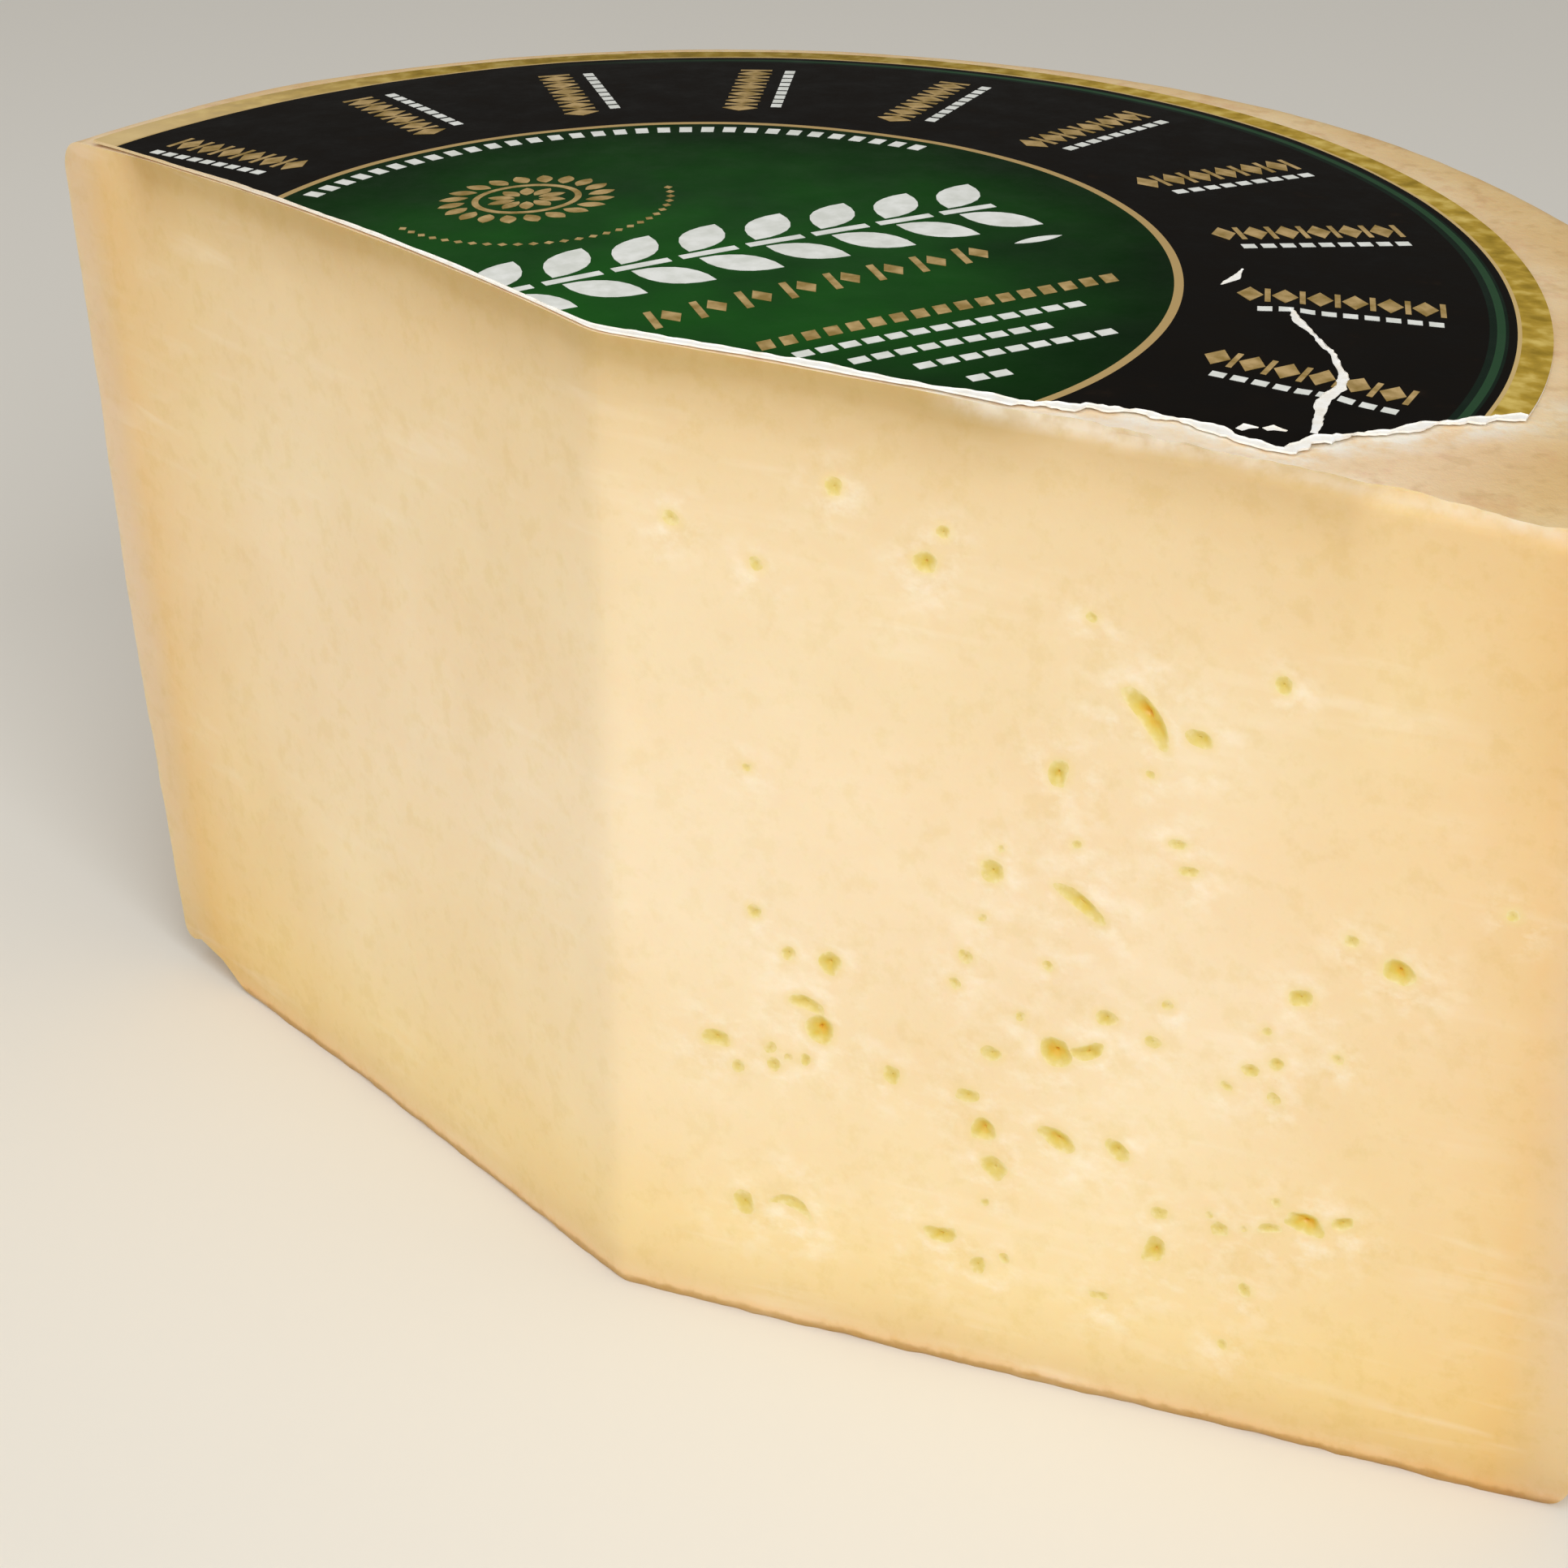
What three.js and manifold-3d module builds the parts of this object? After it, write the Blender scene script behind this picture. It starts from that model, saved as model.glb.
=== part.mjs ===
// A little under half of a cured cheese wheel, with its paper label, cut by two straight knife strokes.
// Millimetres, +Z up. The origin is on the wheel's own axis, in the flat base that it rests on.
import * as THREE from 'three';
import { mergeVertices } from 'three/addons/utils/BufferGeometryUtils.js';
import Module from 'manifold-3d';

// Driving dimensions of the whole wheel
const WHEEL = {
  topRadius: 97,       // wall, just under the top edge
  footRadius: 92.4,    // wall, just above the foot
  belly: 0.8,          // how far the wall bulges half way up
  height: 102.8,       // of the rim
  dome: 4.2,           // rise of the top from the rim to the middle
  domeRadius: 94.7,    // where that rise is zero
  topEdge: 4,          // rounding of the top edge
  footEdge: 3.5,       // rounding of the foot
};
// The wheel has slumped a little as it aged: its foot lies to the front right of its top.
const FOOT_SHIFT = { x: 4.1, y: -3.9 };
const TOP_SHIFT = { x: 0.3, y: 0 };
// Beside the left cut the foot curls up off the board and ends in a thin lip.
const CURL = { angle: 138, spread: 34, lift: 4, lip: 1.8, inner: 78, outer: 88, fade: 26 };
// There the rind is also drawn in a little, most of all at the rim.
const TUCK = { angle: 138, spread: 20, rim: 2.6, foot: 0 };

// The two knife cuts meet in an upright ridge. Each point has its place at the base and at the rim.
const RIDGE = { base: [-8.2, -10.1], rim: [-7.6, -10.1] };
const LEFT_END = { base: [-69.1, 64.4], rim: [-70.2, 63.6] };
const RIGHT_END = { base: [81.4, -48.0], rim: [79.7, -52.0] };
const LEFT_HOLLOW = 0.85;   // how far the left face is dished by the knife
const KNIFE_WAVE = 0.22;    // height of the slow waves that the knife leaves
const BLOCK_DEPTH = 150;    // reach of the cutting block in front of a face
// The block reaches past both ends of its face and past the base and the top, in shares of the face.
const BLOCK_ALONG = { from: -0.8, to: 1.4, steps: 22 };
const BLOCK_UP = { from: -0.1, to: 1.2, steps: 13 };

// The label lies off the middle of the top, and follows its dome.
const LABEL = { x: 0, y: 7.6, radius: 82.9, thickness: 0.5, gap: 0.12, setBack: 0.35 };
// Where the label is torn away at the right: a ragged line from the right cut out to the rim.
const TEAR = [
  [22, -26], [28, -26.6], [34.8, -27.7], [39.3, -27.9], [43.5, -29.4], [47.5, -31.6], [52.6, -35.8],
  [55.7, -33.5], [59.6, -32.2], [63.9, -30.6], [67.5, -28.6], [71.6, -27.4], [78, -25.8], [96, -22],
];
const TEAR_NOTCH = [[54.2, -34.4], [56.4, -28.6], [57.6, -25.3], [58.8, -25.6], [57.9, -29.2], [56.6, -33.2]];

// The larger eyes of the right face: distance from the ridge, height, length, width and turn in degrees.
const EYES = [
  [55.4, 78.5, 6.6, 1.5, -51], [60.4, 77.3, 2.4, 1.3, -15], [47.1, 71.0, 2.6, 1.5, 80], [49.7, 57.6, 5.6, 1.2, -35],
  [40.7, 59.1, 2.2, 1.9, 0], [22.8, 37.0, 3.0, 2.1, 80], [11.4, 33.2, 2.9, 1.5, 8], [47.5, 40.5, 3.0, 2.6, 10],
  [52.5, 45.5, 2.0, 1.4, 20], [80.2, 57.2, 2.8, 1.9, -8], [71.2, 52.3, 2.1, 1.4, 10], [66.8, 43.2, 1.7, 1.0, 10],
  [40.2, 29.5, 2.3, 1.8, 10], [47.8, 30.3, 3.7, 1.6, -25], [54.0, 30.6, 2.5, 1.4, -45], [73.0, 27.0, 3.5, 1.7, -12],
  [35.9, 15.8, 3.3, 1.4, 8], [14.3, 14.0, 2.7, 1.7, 95], [58.1, 19.8, 3.0, 1.6, 75], [33.5, 89.8, 2.3, 1.5, 0],
  [23.9, 44.9, 2.3, 2.0, 60], [41.4, 25.2, 2.8, 1.9, -60],
];
const EYE_DEPTH = 0.5;   // of its width

// How finely the surfaces are faceted
const TURN_STEPS = 96;
const WALL_STEPS = 14;
const TOP_STEPS = 11;
const EDGE_STEPS = 5;

const wasm = await Module();
wasm.setup();

const radians = (degrees) => THREE.MathUtils.degToRad(degrees);
const ease = (t) => THREE.MathUtils.smoothstep(t, 0, 1);
const mix = (a, b, t) => a + (b - a) * t;

function toSolid(geometry) {
  const bare = geometry.index ? geometry.clone() : geometry;
  bare.deleteAttribute('normal');
  bare.deleteAttribute('uv');
  const merged = mergeVertices(bare, 1e-4);
  const vertProperties = Float32Array.from(merged.attributes.position.array);
  const triVerts = Uint32Array.from(merged.index.array);
  return new wasm.Manifold(new wasm.Mesh({ numProp: 3, vertProperties, triVerts }));
}

function toGeometry(solid) {
  const mesh = solid.getMesh();
  const geometry = new THREE.BufferGeometry();
  geometry.setAttribute('position', new THREE.BufferAttribute(mesh.vertProperties, 3));
  geometry.setIndex(new THREE.BufferAttribute(mesh.triVerts, 1));
  geometry.computeVertexNormals();
  return geometry;
}

// Moves every vertex of a geometry by a function that changes a vector in place.
function bend(geometry, move) {
  const places = geometry.attributes.position;
  const v = new THREE.Vector3();
  for (let i = 0; i < places.count; i += 1) {
    v.fromBufferAttribute(places, i);
    move(v);
    places.setXYZ(i, v.x, v.y, v.z);
  }
  return geometry;
}

// Height of the wheel's top at a distance from its middle
const domeHeight = (r) => WHEEL.height + WHEEL.dome * (1 - (r / WHEEL.domeRadius) ** 2);

function topHeight(x, y) {
  return domeHeight(Math.hypot(x - TOP_SHIFT.x, y - TOP_SHIFT.y));
}

// Half section of the wheel, from the middle of the base round to the middle of the top
function wheelProfile() {
  const points = [new THREE.Vector2(0, 0)];
  const flat = WHEEL.footRadius - WHEEL.footEdge;
  for (const r of [0.4, 0.7, 0.84, 0.9, 0.95]) points.push(new THREE.Vector2(flat * r, 0));
  for (let i = 0; i <= EDGE_STEPS; i += 1) {
    const a = radians(-90 + (90 * i) / EDGE_STEPS);
    points.push(new THREE.Vector2(flat + WHEEL.footEdge * Math.cos(a), WHEEL.footEdge * (1 + Math.sin(a))));
  }
  const edgeRadius = WHEEL.topRadius - WHEEL.topEdge;
  const edgeHeight = domeHeight(edgeRadius) - WHEEL.topEdge;
  for (let i = 1; i < WALL_STEPS; i += 1) {
    const t = i / WALL_STEPS;
    const r = mix(WHEEL.footRadius, WHEEL.topRadius, t) + WHEEL.belly * Math.sin(Math.PI * t);
    points.push(new THREE.Vector2(r, mix(WHEEL.footEdge, edgeHeight, t)));
  }
  const slope = Math.atan((2 * WHEEL.dome * edgeRadius) / WHEEL.domeRadius ** 2);
  for (let i = 0; i <= EDGE_STEPS; i += 1) {
    const a = ((Math.PI / 2 - slope) * i) / EDGE_STEPS;
    const r = edgeRadius + WHEEL.topEdge * Math.cos(a);
    points.push(new THREE.Vector2(r, edgeHeight + WHEEL.topEdge * Math.sin(a)));
  }
  for (let i = TOP_STEPS - 1; i > 0; i -= 1) {
    const r = (edgeRadius * i) / TOP_STEPS;
    points.push(new THREE.Vector2(r, domeHeight(r)));
  }
  points.push(new THREE.Vector2(0, domeHeight(0)));
  return points;
}

// Lifts the foot beside the left cut and draws the rind in there, then leans the wheel over from its foot to its top.
function slump(v) {
  const angle = THREE.MathUtils.radToDeg(Math.atan2(v.y, v.x));
  const beside = ease(1 - Math.abs(angle - CURL.angle) / CURL.spread);
  const r = Math.hypot(v.x, v.y);
  const rise = CURL.lift * ease((r - CURL.inner) / (CURL.outer - CURL.inner));
  const lip = CURL.lip * ease((r - CURL.outer) / (WHEEL.footRadius - CURL.outer));
  v.z += (rise - lip) * beside * Math.max(0, 1 - v.z / CURL.fade);
  const t = v.z / WHEEL.height;
  const tuck = mix(TUCK.foot, TUCK.rim, t) * ease(1 - Math.abs(angle - TUCK.angle) / TUCK.spread);
  const drawn = 1 - (tuck * ease(r / WHEEL.topRadius)) / WHEEL.topRadius;
  v.x *= drawn;
  v.y *= drawn;
  v.x += mix(FOOT_SHIFT.x, TOP_SHIFT.x, t);
  v.y += mix(FOOT_SHIFT.y, TOP_SHIFT.y, t);
}

function wheel() {
  const geometry = new THREE.LatheGeometry(wheelProfile(), TURN_STEPS);
  geometry.rotateX(Math.PI / 2);
  return toSolid(bend(geometry, slump));
}

// A point of a cut face, t along it from one end to the other and w up it from base to rim, moved out by a distance
function facePoint(from, to, t, w, out) {
  const start = [mix(from.base[0], from.rim[0], w), mix(from.base[1], from.rim[1], w)];
  const end = [mix(to.base[0], to.rim[0], w), mix(to.base[1], to.rim[1], w)];
  const dx = end[0] - start[0];
  const dy = end[1] - start[1];
  const length = Math.hypot(dx, dy);
  return [start[0] + dx * t - (dy / length) * out, start[1] + dy * t + (dx / length) * out];
}

// The block of air in front of a cut. The face runs from its right end to its left, seen from the front.
function knifeBlock(from, to, hollow, phase, setBack = 0) {
  const geometry = new THREE.BoxGeometry(1, 1, 1, BLOCK_ALONG.steps, 1, BLOCK_UP.steps);
  return toSolid(bend(geometry, (v) => {
    const t = mix(BLOCK_ALONG.from, BLOCK_ALONG.to, v.x + 0.5);
    const w = mix(BLOCK_UP.from, BLOCK_UP.to, v.z + 0.5);
    const inside = t > 0 && t < 1 ? 4 * t * (1 - t) : 0;
    const wave = Math.sin(7 * t + 3 * w + phase) + Math.sin(4 * t - 8 * w + 2 * phase);
    const relief = inside * (KNIFE_WAVE * 0.5 * wave - hollow) - setBack;
    const [x, y] = facePoint(from, to, t, w, relief + (v.y + 0.5) * BLOCK_DEPTH);
    v.set(x, y, w * WHEEL.height);
  }));
}

const leftKnife = (setBack) => knifeBlock(RIDGE, LEFT_END, LEFT_HOLLOW, 0.6, setBack);
const rightKnife = (setBack) => knifeBlock(RIGHT_END, RIDGE, 0, 2.1, setBack);

// One eye: a small uneven ball sunk in the right face
function eye([along, up, long, wide, turn], index) {
  const geometry = new THREE.IcosahedronGeometry(0.5, 1);
  const reach = Math.hypot(RIGHT_END.base[0] - RIDGE.base[0], RIGHT_END.base[1] - RIDGE.base[1]);
  const deep = EYE_DEPTH * Math.min(long, wide) * 2;
  const a = radians(turn);
  return toSolid(bend(geometry, (v) => {
    const lump = 1 + 0.18 * Math.sin(9 * v.x + index) * Math.cos(8 * v.z + 2 * index);
    const s = v.x * long * lump;
    const z = v.z * wide * lump;
    const t = 1 - (along + s * Math.cos(a) - z * Math.sin(a)) / reach;
    const height = up + s * Math.sin(a) + z * Math.cos(a);
    const [x, y] = facePoint(RIGHT_END, RIDGE, t, height / WHEEL.height, -v.y * deep);
    v.set(x, y, height);
  }));
}

function cheeseSolid() {
  let solid = wheel().subtract(leftKnife()).subtract(rightKnife());
  EYES.forEach((row, index) => {
    solid = solid.subtract(eye(row, index));
  });
  return solid;
}

// A flat outline pulled up into a block that is taller than the wheel
function upright(points) {
  const shape = new THREE.Shape(points.map(([x, y]) => new THREE.Vector2(x, y)));
  return toSolid(new THREE.ExtrudeGeometry(shape, { depth: WHEEL.height * 1.2, bevelEnabled: false }));
}

function labelSolid() {
  const rings = 8;
  const points = [];
  for (let i = 0; i <= rings; i += 1) points.push(new THREE.Vector2((LABEL.radius * i) / rings, 0));
  for (let i = rings; i >= 0; i -= 1) points.push(new THREE.Vector2((LABEL.radius * i) / rings, LABEL.thickness));
  const geometry = new THREE.LatheGeometry(points, TURN_STEPS);
  geometry.rotateX(Math.PI / 2);
  const disc = toSolid(bend(geometry, (v) => {
    v.x += LABEL.x;
    v.y += LABEL.y;
    v.z += topHeight(v.x, v.y) + LABEL.gap;
  }));
  const tornOff = upright([...TEAR, [96, -90], [22, -90]]);
  return disc.subtract(leftKnife(LABEL.setBack)).subtract(rightKnife(LABEL.setBack))
    .subtract(tornOff).subtract(upright(TEAR_NOTCH));
}

const paste = new THREE.MeshStandardMaterial({ name: 'cured paste and rind', color: 0xf1d8aa, roughness: 0.55 });
const paper = new THREE.MeshStandardMaterial({ name: 'printed label paper', color: 0x1f3a22, roughness: 0.4 });

function piece(name, solid, material) {
  const mesh = new THREE.Mesh(toGeometry(solid), material);
  mesh.name = name;
  return mesh;
}

const part = new THREE.Group();
part.add(piece('cheese', cheeseSolid(), paste));
part.add(piece('label', labelSolid(), paper));

export default part;
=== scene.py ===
# %% [markdown]
# # A cut half of a cured cheese wheel
#
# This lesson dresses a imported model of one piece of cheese: a little under half of a wheel, cut by two knife
# strokes that meet in an upright ridge, with a round paper label on its top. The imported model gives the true
# sizes and places, and everything here is made in the same frame, in metres, with +Z up.

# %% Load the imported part
import math
import random

import bmesh
import bpy
import numpy as np
from mathutils import Matrix, Vector, noise
from mathutils.kdtree import KDTree


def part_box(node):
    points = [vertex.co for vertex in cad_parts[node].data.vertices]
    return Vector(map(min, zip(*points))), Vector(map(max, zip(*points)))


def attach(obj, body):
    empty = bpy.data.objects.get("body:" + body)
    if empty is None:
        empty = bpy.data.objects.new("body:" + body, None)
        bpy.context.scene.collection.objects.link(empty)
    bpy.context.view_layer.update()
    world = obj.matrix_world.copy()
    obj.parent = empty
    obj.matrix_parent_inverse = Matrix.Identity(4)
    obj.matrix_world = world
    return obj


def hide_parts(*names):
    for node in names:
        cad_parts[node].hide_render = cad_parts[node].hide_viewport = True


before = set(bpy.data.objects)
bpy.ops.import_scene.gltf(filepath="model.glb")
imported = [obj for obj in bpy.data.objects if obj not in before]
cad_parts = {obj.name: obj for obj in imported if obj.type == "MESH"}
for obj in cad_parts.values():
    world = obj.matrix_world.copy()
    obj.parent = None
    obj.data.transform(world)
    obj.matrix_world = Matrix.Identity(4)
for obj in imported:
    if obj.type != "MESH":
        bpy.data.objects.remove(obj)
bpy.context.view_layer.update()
MM = 0.001
wheel_low, wheel_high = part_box("cheese")
print("packed nodes:", sorted(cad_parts), "height in mm:", round((wheel_high.z - wheel_low.z) / MM, 1))

# %% [markdown]
# ## Small helpers
#
# Meshes are built from arrays of points in millimetres, because the shapes here follow formulas and noise,
# which a modifier stack of ready-made shapes would follow less closely. A closed mesh can then be cut with
# another one, and the Boolean modifier's manifold solver is quick and exact enough for tens of thousands of
# faces. It hands each side's material over to the faces that it leaves, so a cut face gets the knife's
# material, which is cut paste.

# %% Meshes from arrays, and cuts
def piece_from(name, points, faces, material=None):
    """A mesh object at the origin, from points in millimetres. A closed one ends with its faces outwards."""
    mesh = bpy.data.meshes.new(name)
    mesh.from_pydata((np.asarray(points, float) * MM).tolist(), [], [tuple(f) for f in faces])
    shape = bmesh.new()
    shape.from_mesh(mesh)
    bmesh.ops.recalc_face_normals(shape, faces=shape.faces)
    shape.to_mesh(mesh)
    shape.free()
    if material:
        mesh.materials.append(material)
    piece = bpy.data.objects.new(name, mesh)
    bpy.context.scene.collection.objects.link(piece)
    return piece


def apply_modifiers(piece):
    """Turns what the piece's modifiers show into its plain mesh."""
    shown = piece.evaluated_get(bpy.context.evaluated_depsgraph_get())
    mesh = bpy.data.meshes.new_from_object(shown)
    piece.modifiers.clear()
    piece.data = mesh


def cut(piece, tool, operation="DIFFERENCE"):
    """Cuts one closed mesh with another, and removes the tool."""
    step = piece.modifiers.new("cut", "BOOLEAN")
    step.operation = operation
    step.solver = "MANIFOLD"
    step.material_mode = "TRANSFER"
    step.object = tool
    bpy.context.view_layer.update()
    apply_modifiers(piece)
    bpy.data.objects.remove(tool)


def ease(t):
    """A smooth step from 0 to 1."""
    t = np.clip(t, 0.0, 1.0)
    return t * t * (3.0 - 2.0 * t)


def mix(a, b, t):
    """The value t of the way from a to b."""
    return a + (b - a) * t


NOISE_GAIN = 1.6   # Blender's noise stays within about 0.6 of zero, and this stretches it to about 1


def lumps(points, size, seed=0.0):
    """Smooth noise from about -1 to 1 at each point, with lumps about `size` millimetres across."""
    flat = np.asarray(points, float).reshape(-1, 3) / size + seed
    values = [noise.noise(Vector(p)) for p in flat]
    return np.array(values).reshape(np.asarray(points).shape[:-1]) * NOISE_GAIN


print("helpers ready")

# %% [markdown]
# ## Materials
#
# Every colour is written as the sRGB hex that a picture would show and turned to Blender's linear values by
# one function. One more function adds a node with its settings and links, so that each material below reads
# as a list of what it does. Nodes with several sockets of one name take them by number. A Map Range reads its
# value at 0 and that value's range at 1 and 2, and gives the range at 3 and 4, or 0 to 1 where nothing is
# said. A colour Mix has its share at 0 and its two colours at 6 and 7.

# %% Colours and nodes
def linear(hex_colour):
    """The linear RGBA of an sRGB hex colour."""
    parts = [int(hex_colour[i:i + 2], 16) / 255 for i in (1, 3, 5)]
    return tuple(c / 12.92 if c <= 0.04045 else ((c + 0.055) / 1.055) ** 2.4 for c in parts) + (1.0,)


def add(tree, kind, inputs=None, stops=None, **settings):
    """Adds a node, sets its properties, fills its sockets with values or links, and sets a ramp's stops."""
    node = tree.nodes.new(kind)
    for name, value in settings.items():
        setattr(node, name, value)
    for key, value in (inputs or {}).items():
        if isinstance(value, bpy.types.NodeSocket):
            tree.links.new(value, node.inputs[key])
        else:
            node.inputs[key].default_value = value
    for index, (place, colour) in enumerate(stops or []):
        elements = node.color_ramp.elements
        element = elements[index] if index < 2 else elements.new(place)
        element.position = place
        element.color = linear(colour)
    return node


def new_material(name):
    """An empty node material with its output, ready for a surface."""
    material = bpy.data.materials.new(name)
    material.use_nodes = True
    tree = material.node_tree
    tree.nodes.clear()
    return material, tree, add(tree, "ShaderNodeOutputMaterial")


def per_metre(millimetres):
    """The scale of a noise node whose lumps are that many millimetres across."""
    return 1.0 / (millimetres * MM)


print("white is", linear("#ffffff"))

# %% [markdown]
# ### Cut paste
#
# The paste of a cured cheese is a dense, slightly oily gel of fat and protein. Light goes a few millimetres
# in and comes out warm, so it needs subsurface scattering and a soft satin gloss. Its colour isn't even.
# Below the wall there is a thin pale skin, then a few millimetres of tan, then cream. Under the top the tan
# is deeper and fades slowly, and just under the label's edge it starts darker, which is painted shade from
# the label. Along the foot the cut starts with a thin brown line: the paste's own brown edge with painted
# shade of the contact shadow on it. That could be painted as a picture, but it all follows the depth below
# the rind. So the mesh carries three depths as point attributes, in millimetres, and ramps turn them into
# tints that multiply the cream. Noise moves each depth a little, so that no band runs like a drawn line.

# %% Paste: tints by depth
DEPTH_TINTS = {   # for each depth, the tint at shares of the millimetres that its ramp spans
    # the first few millimetres under the top are painted shade of the label's edge; the rest is the tan below
    # the rind
    "from_top": [(0.0, "#d0c19c"), (0.017, "#cfc39e"), (0.035, "#d4c7a6"), (0.052, "#ddd3b8"),
                 (0.074, "#e5dcc6"), (0.139, "#f2ecdc"), (0.2, "#f6f2e6"), (0.33, "#f9f5ea"),
                 (0.5, "#fbfaf3"), (0.67, "#fefcf8"), (1.0, "#ffffff")],
    # the darkest stops at the foot are painted contact shadow over the paste's own brown edge
    "from_base": [(0.0, "#c6ab7e"), (0.022, "#ceb589"), (0.032, "#f4e3ca"), (0.044, "#f3e9d3"),
                  (0.07, "#f1e9cc"), (0.12, "#f7f1d4"), (0.22, "#fdf9df"), (0.36, "#fffdee"),
                  (1.0, "#ffffff")],
    "from_wall": [(0.0, "#efeaea"), (0.075, "#efe7e2"), (0.125, "#f1e6d5"), (0.19, "#f6e7ca"),
                  (0.25, "#f8ecd2"), (0.35, "#faf1de"), (0.55, "#fcf7e8"), (0.8, "#fefcf6"),
                  (1.0, "#fffffd")],
}
DEPTH_SPANS = {"from_top": 60, "from_base": 50, "from_wall": 40}      # mm
DEPTH_DRIFT = {"from_top": 2.0, "from_base": 0.8, "from_wall": 1.2}   # mm by which noise moves the depth


def tinted_by_depth(t, place, colour, crumb):
    """The colour multiplied by the tint of each depth, as a socket."""
    wander = add(t, "ShaderNodeTexNoise", {"Vector": place, "Scale": per_metre(9), "Detail": 2.0})
    slow = add(t, "ShaderNodeMath", {0: wander.outputs["Fac"], 1: 0.5}, operation="SUBTRACT").outputs[0]
    for name, span in DEPTH_SPANS.items():
        drift = crumb if name == "from_base" else slow
        depth = add(t, "ShaderNodeAttribute", attribute_name=name).outputs["Fac"]
        depth = add(t, "ShaderNodeMath", {0: drift, 1: DEPTH_DRIFT[name], 2: depth},
                    operation="MULTIPLY_ADD").outputs[0]
        share = add(t, "ShaderNodeMath", {0: depth, 1: 1 / span}, operation="MULTIPLY").outputs[0]
        tint = add(t, "ShaderNodeValToRGB", {"Fac": share}, stops=DEPTH_TINTS[name]).outputs[0]
        colour = add(t, "ShaderNodeMix", {0: 1.0, 6: colour, 7: tint},
                     data_type="RGBA", blend_type="MULTIPLY").outputs[2]
    return colour


print("depths:", {name: str(span) + " mm" for name, span in DEPTH_SPANS.items()})

# %% [markdown]
# A knife smears fat out of the eyes that it opens, and it drags short, faint, pale strokes along the cut.
# Both are noise: round lumps near an eye, and lumps drawn out along the face elsewhere. A Mapping node draws
# a pattern out by making its scale smaller in two directions.

# %% Paste: what the knife smears
STROKE_WIDTH = 2.4   # mm across


def knife_smears(t, place, patches):
    """How much pale fat lies on the cut, from 0 to 1, as a socket."""
    eye = add(t, "ShaderNodeAttribute", attribute_name="from_eye").outputs["Fac"]
    smear_place = add(t, "ShaderNodeMapping", {
        "Vector": place, "Rotation": (0.0, math.radians(35), math.radians(-25)), "Scale": (0.7, 0.7, 1.0),
    }).outputs[0]
    smear_noise = add(t, "ShaderNodeTexNoise", {"Vector": smear_place, "Scale": per_metre(STROKE_WIDTH),
                                                "Detail": 5.0, "Roughness": 0.6})
    smear_edge = add(t, "ShaderNodeMapRange", {0: smear_noise.outputs["Fac"], 1: 0.46, 2: 0.72}).outputs[0]
    near_eye = add(t, "ShaderNodeMapRange", {0: eye, 1: 7.5, 2: 0.5, 4: 0.62}).outputs[0]
    smear = add(t, "ShaderNodeMath", {0: smear_edge, 1: near_eye}, operation="MULTIPLY").outputs[0]
    drag_place = add(t, "ShaderNodeMapping", {
        "Vector": place, "Rotation": (0.0, math.radians(10), math.radians(-25)), "Scale": (0.14, 0.14, 1.0),
    }).outputs[0]
    drag_noise = add(t, "ShaderNodeTexNoise", {"Vector": drag_place, "Scale": per_metre(STROKE_WIDTH),
                                               "Detail": 3.0, "Distortion": 0.4})
    drag = add(t, "ShaderNodeMapRange", {0: drag_noise.outputs["Fac"], 1: 0.54, 2: 0.82, 4: 0.26}).outputs[0]
    where = add(t, "ShaderNodeMapRange", {0: patches, 1: 0.46, 2: 0.6}).outputs[0]
    drag = add(t, "ShaderNodeMath", {0: drag, 1: where}, operation="MULTIPLY").outputs[0]
    return add(t, "ShaderNodeMath", {0: smear, 1: drag}, operation="MAXIMUM").outputs[0]


print("strokes", STROKE_WIDTH, "mm wide")

# %% [markdown]
# The material then goes from the broad to the fine: slow patches of cream, the tints, knots of curd, the
# smears, and what changes the colour in a few places. More attributes say where those are: beside the ridge,
# along the torn edge of the label, and round each eye. The relief is only bump, as curd grain stands up by
# less than a tenth of a millimetre.

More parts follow.
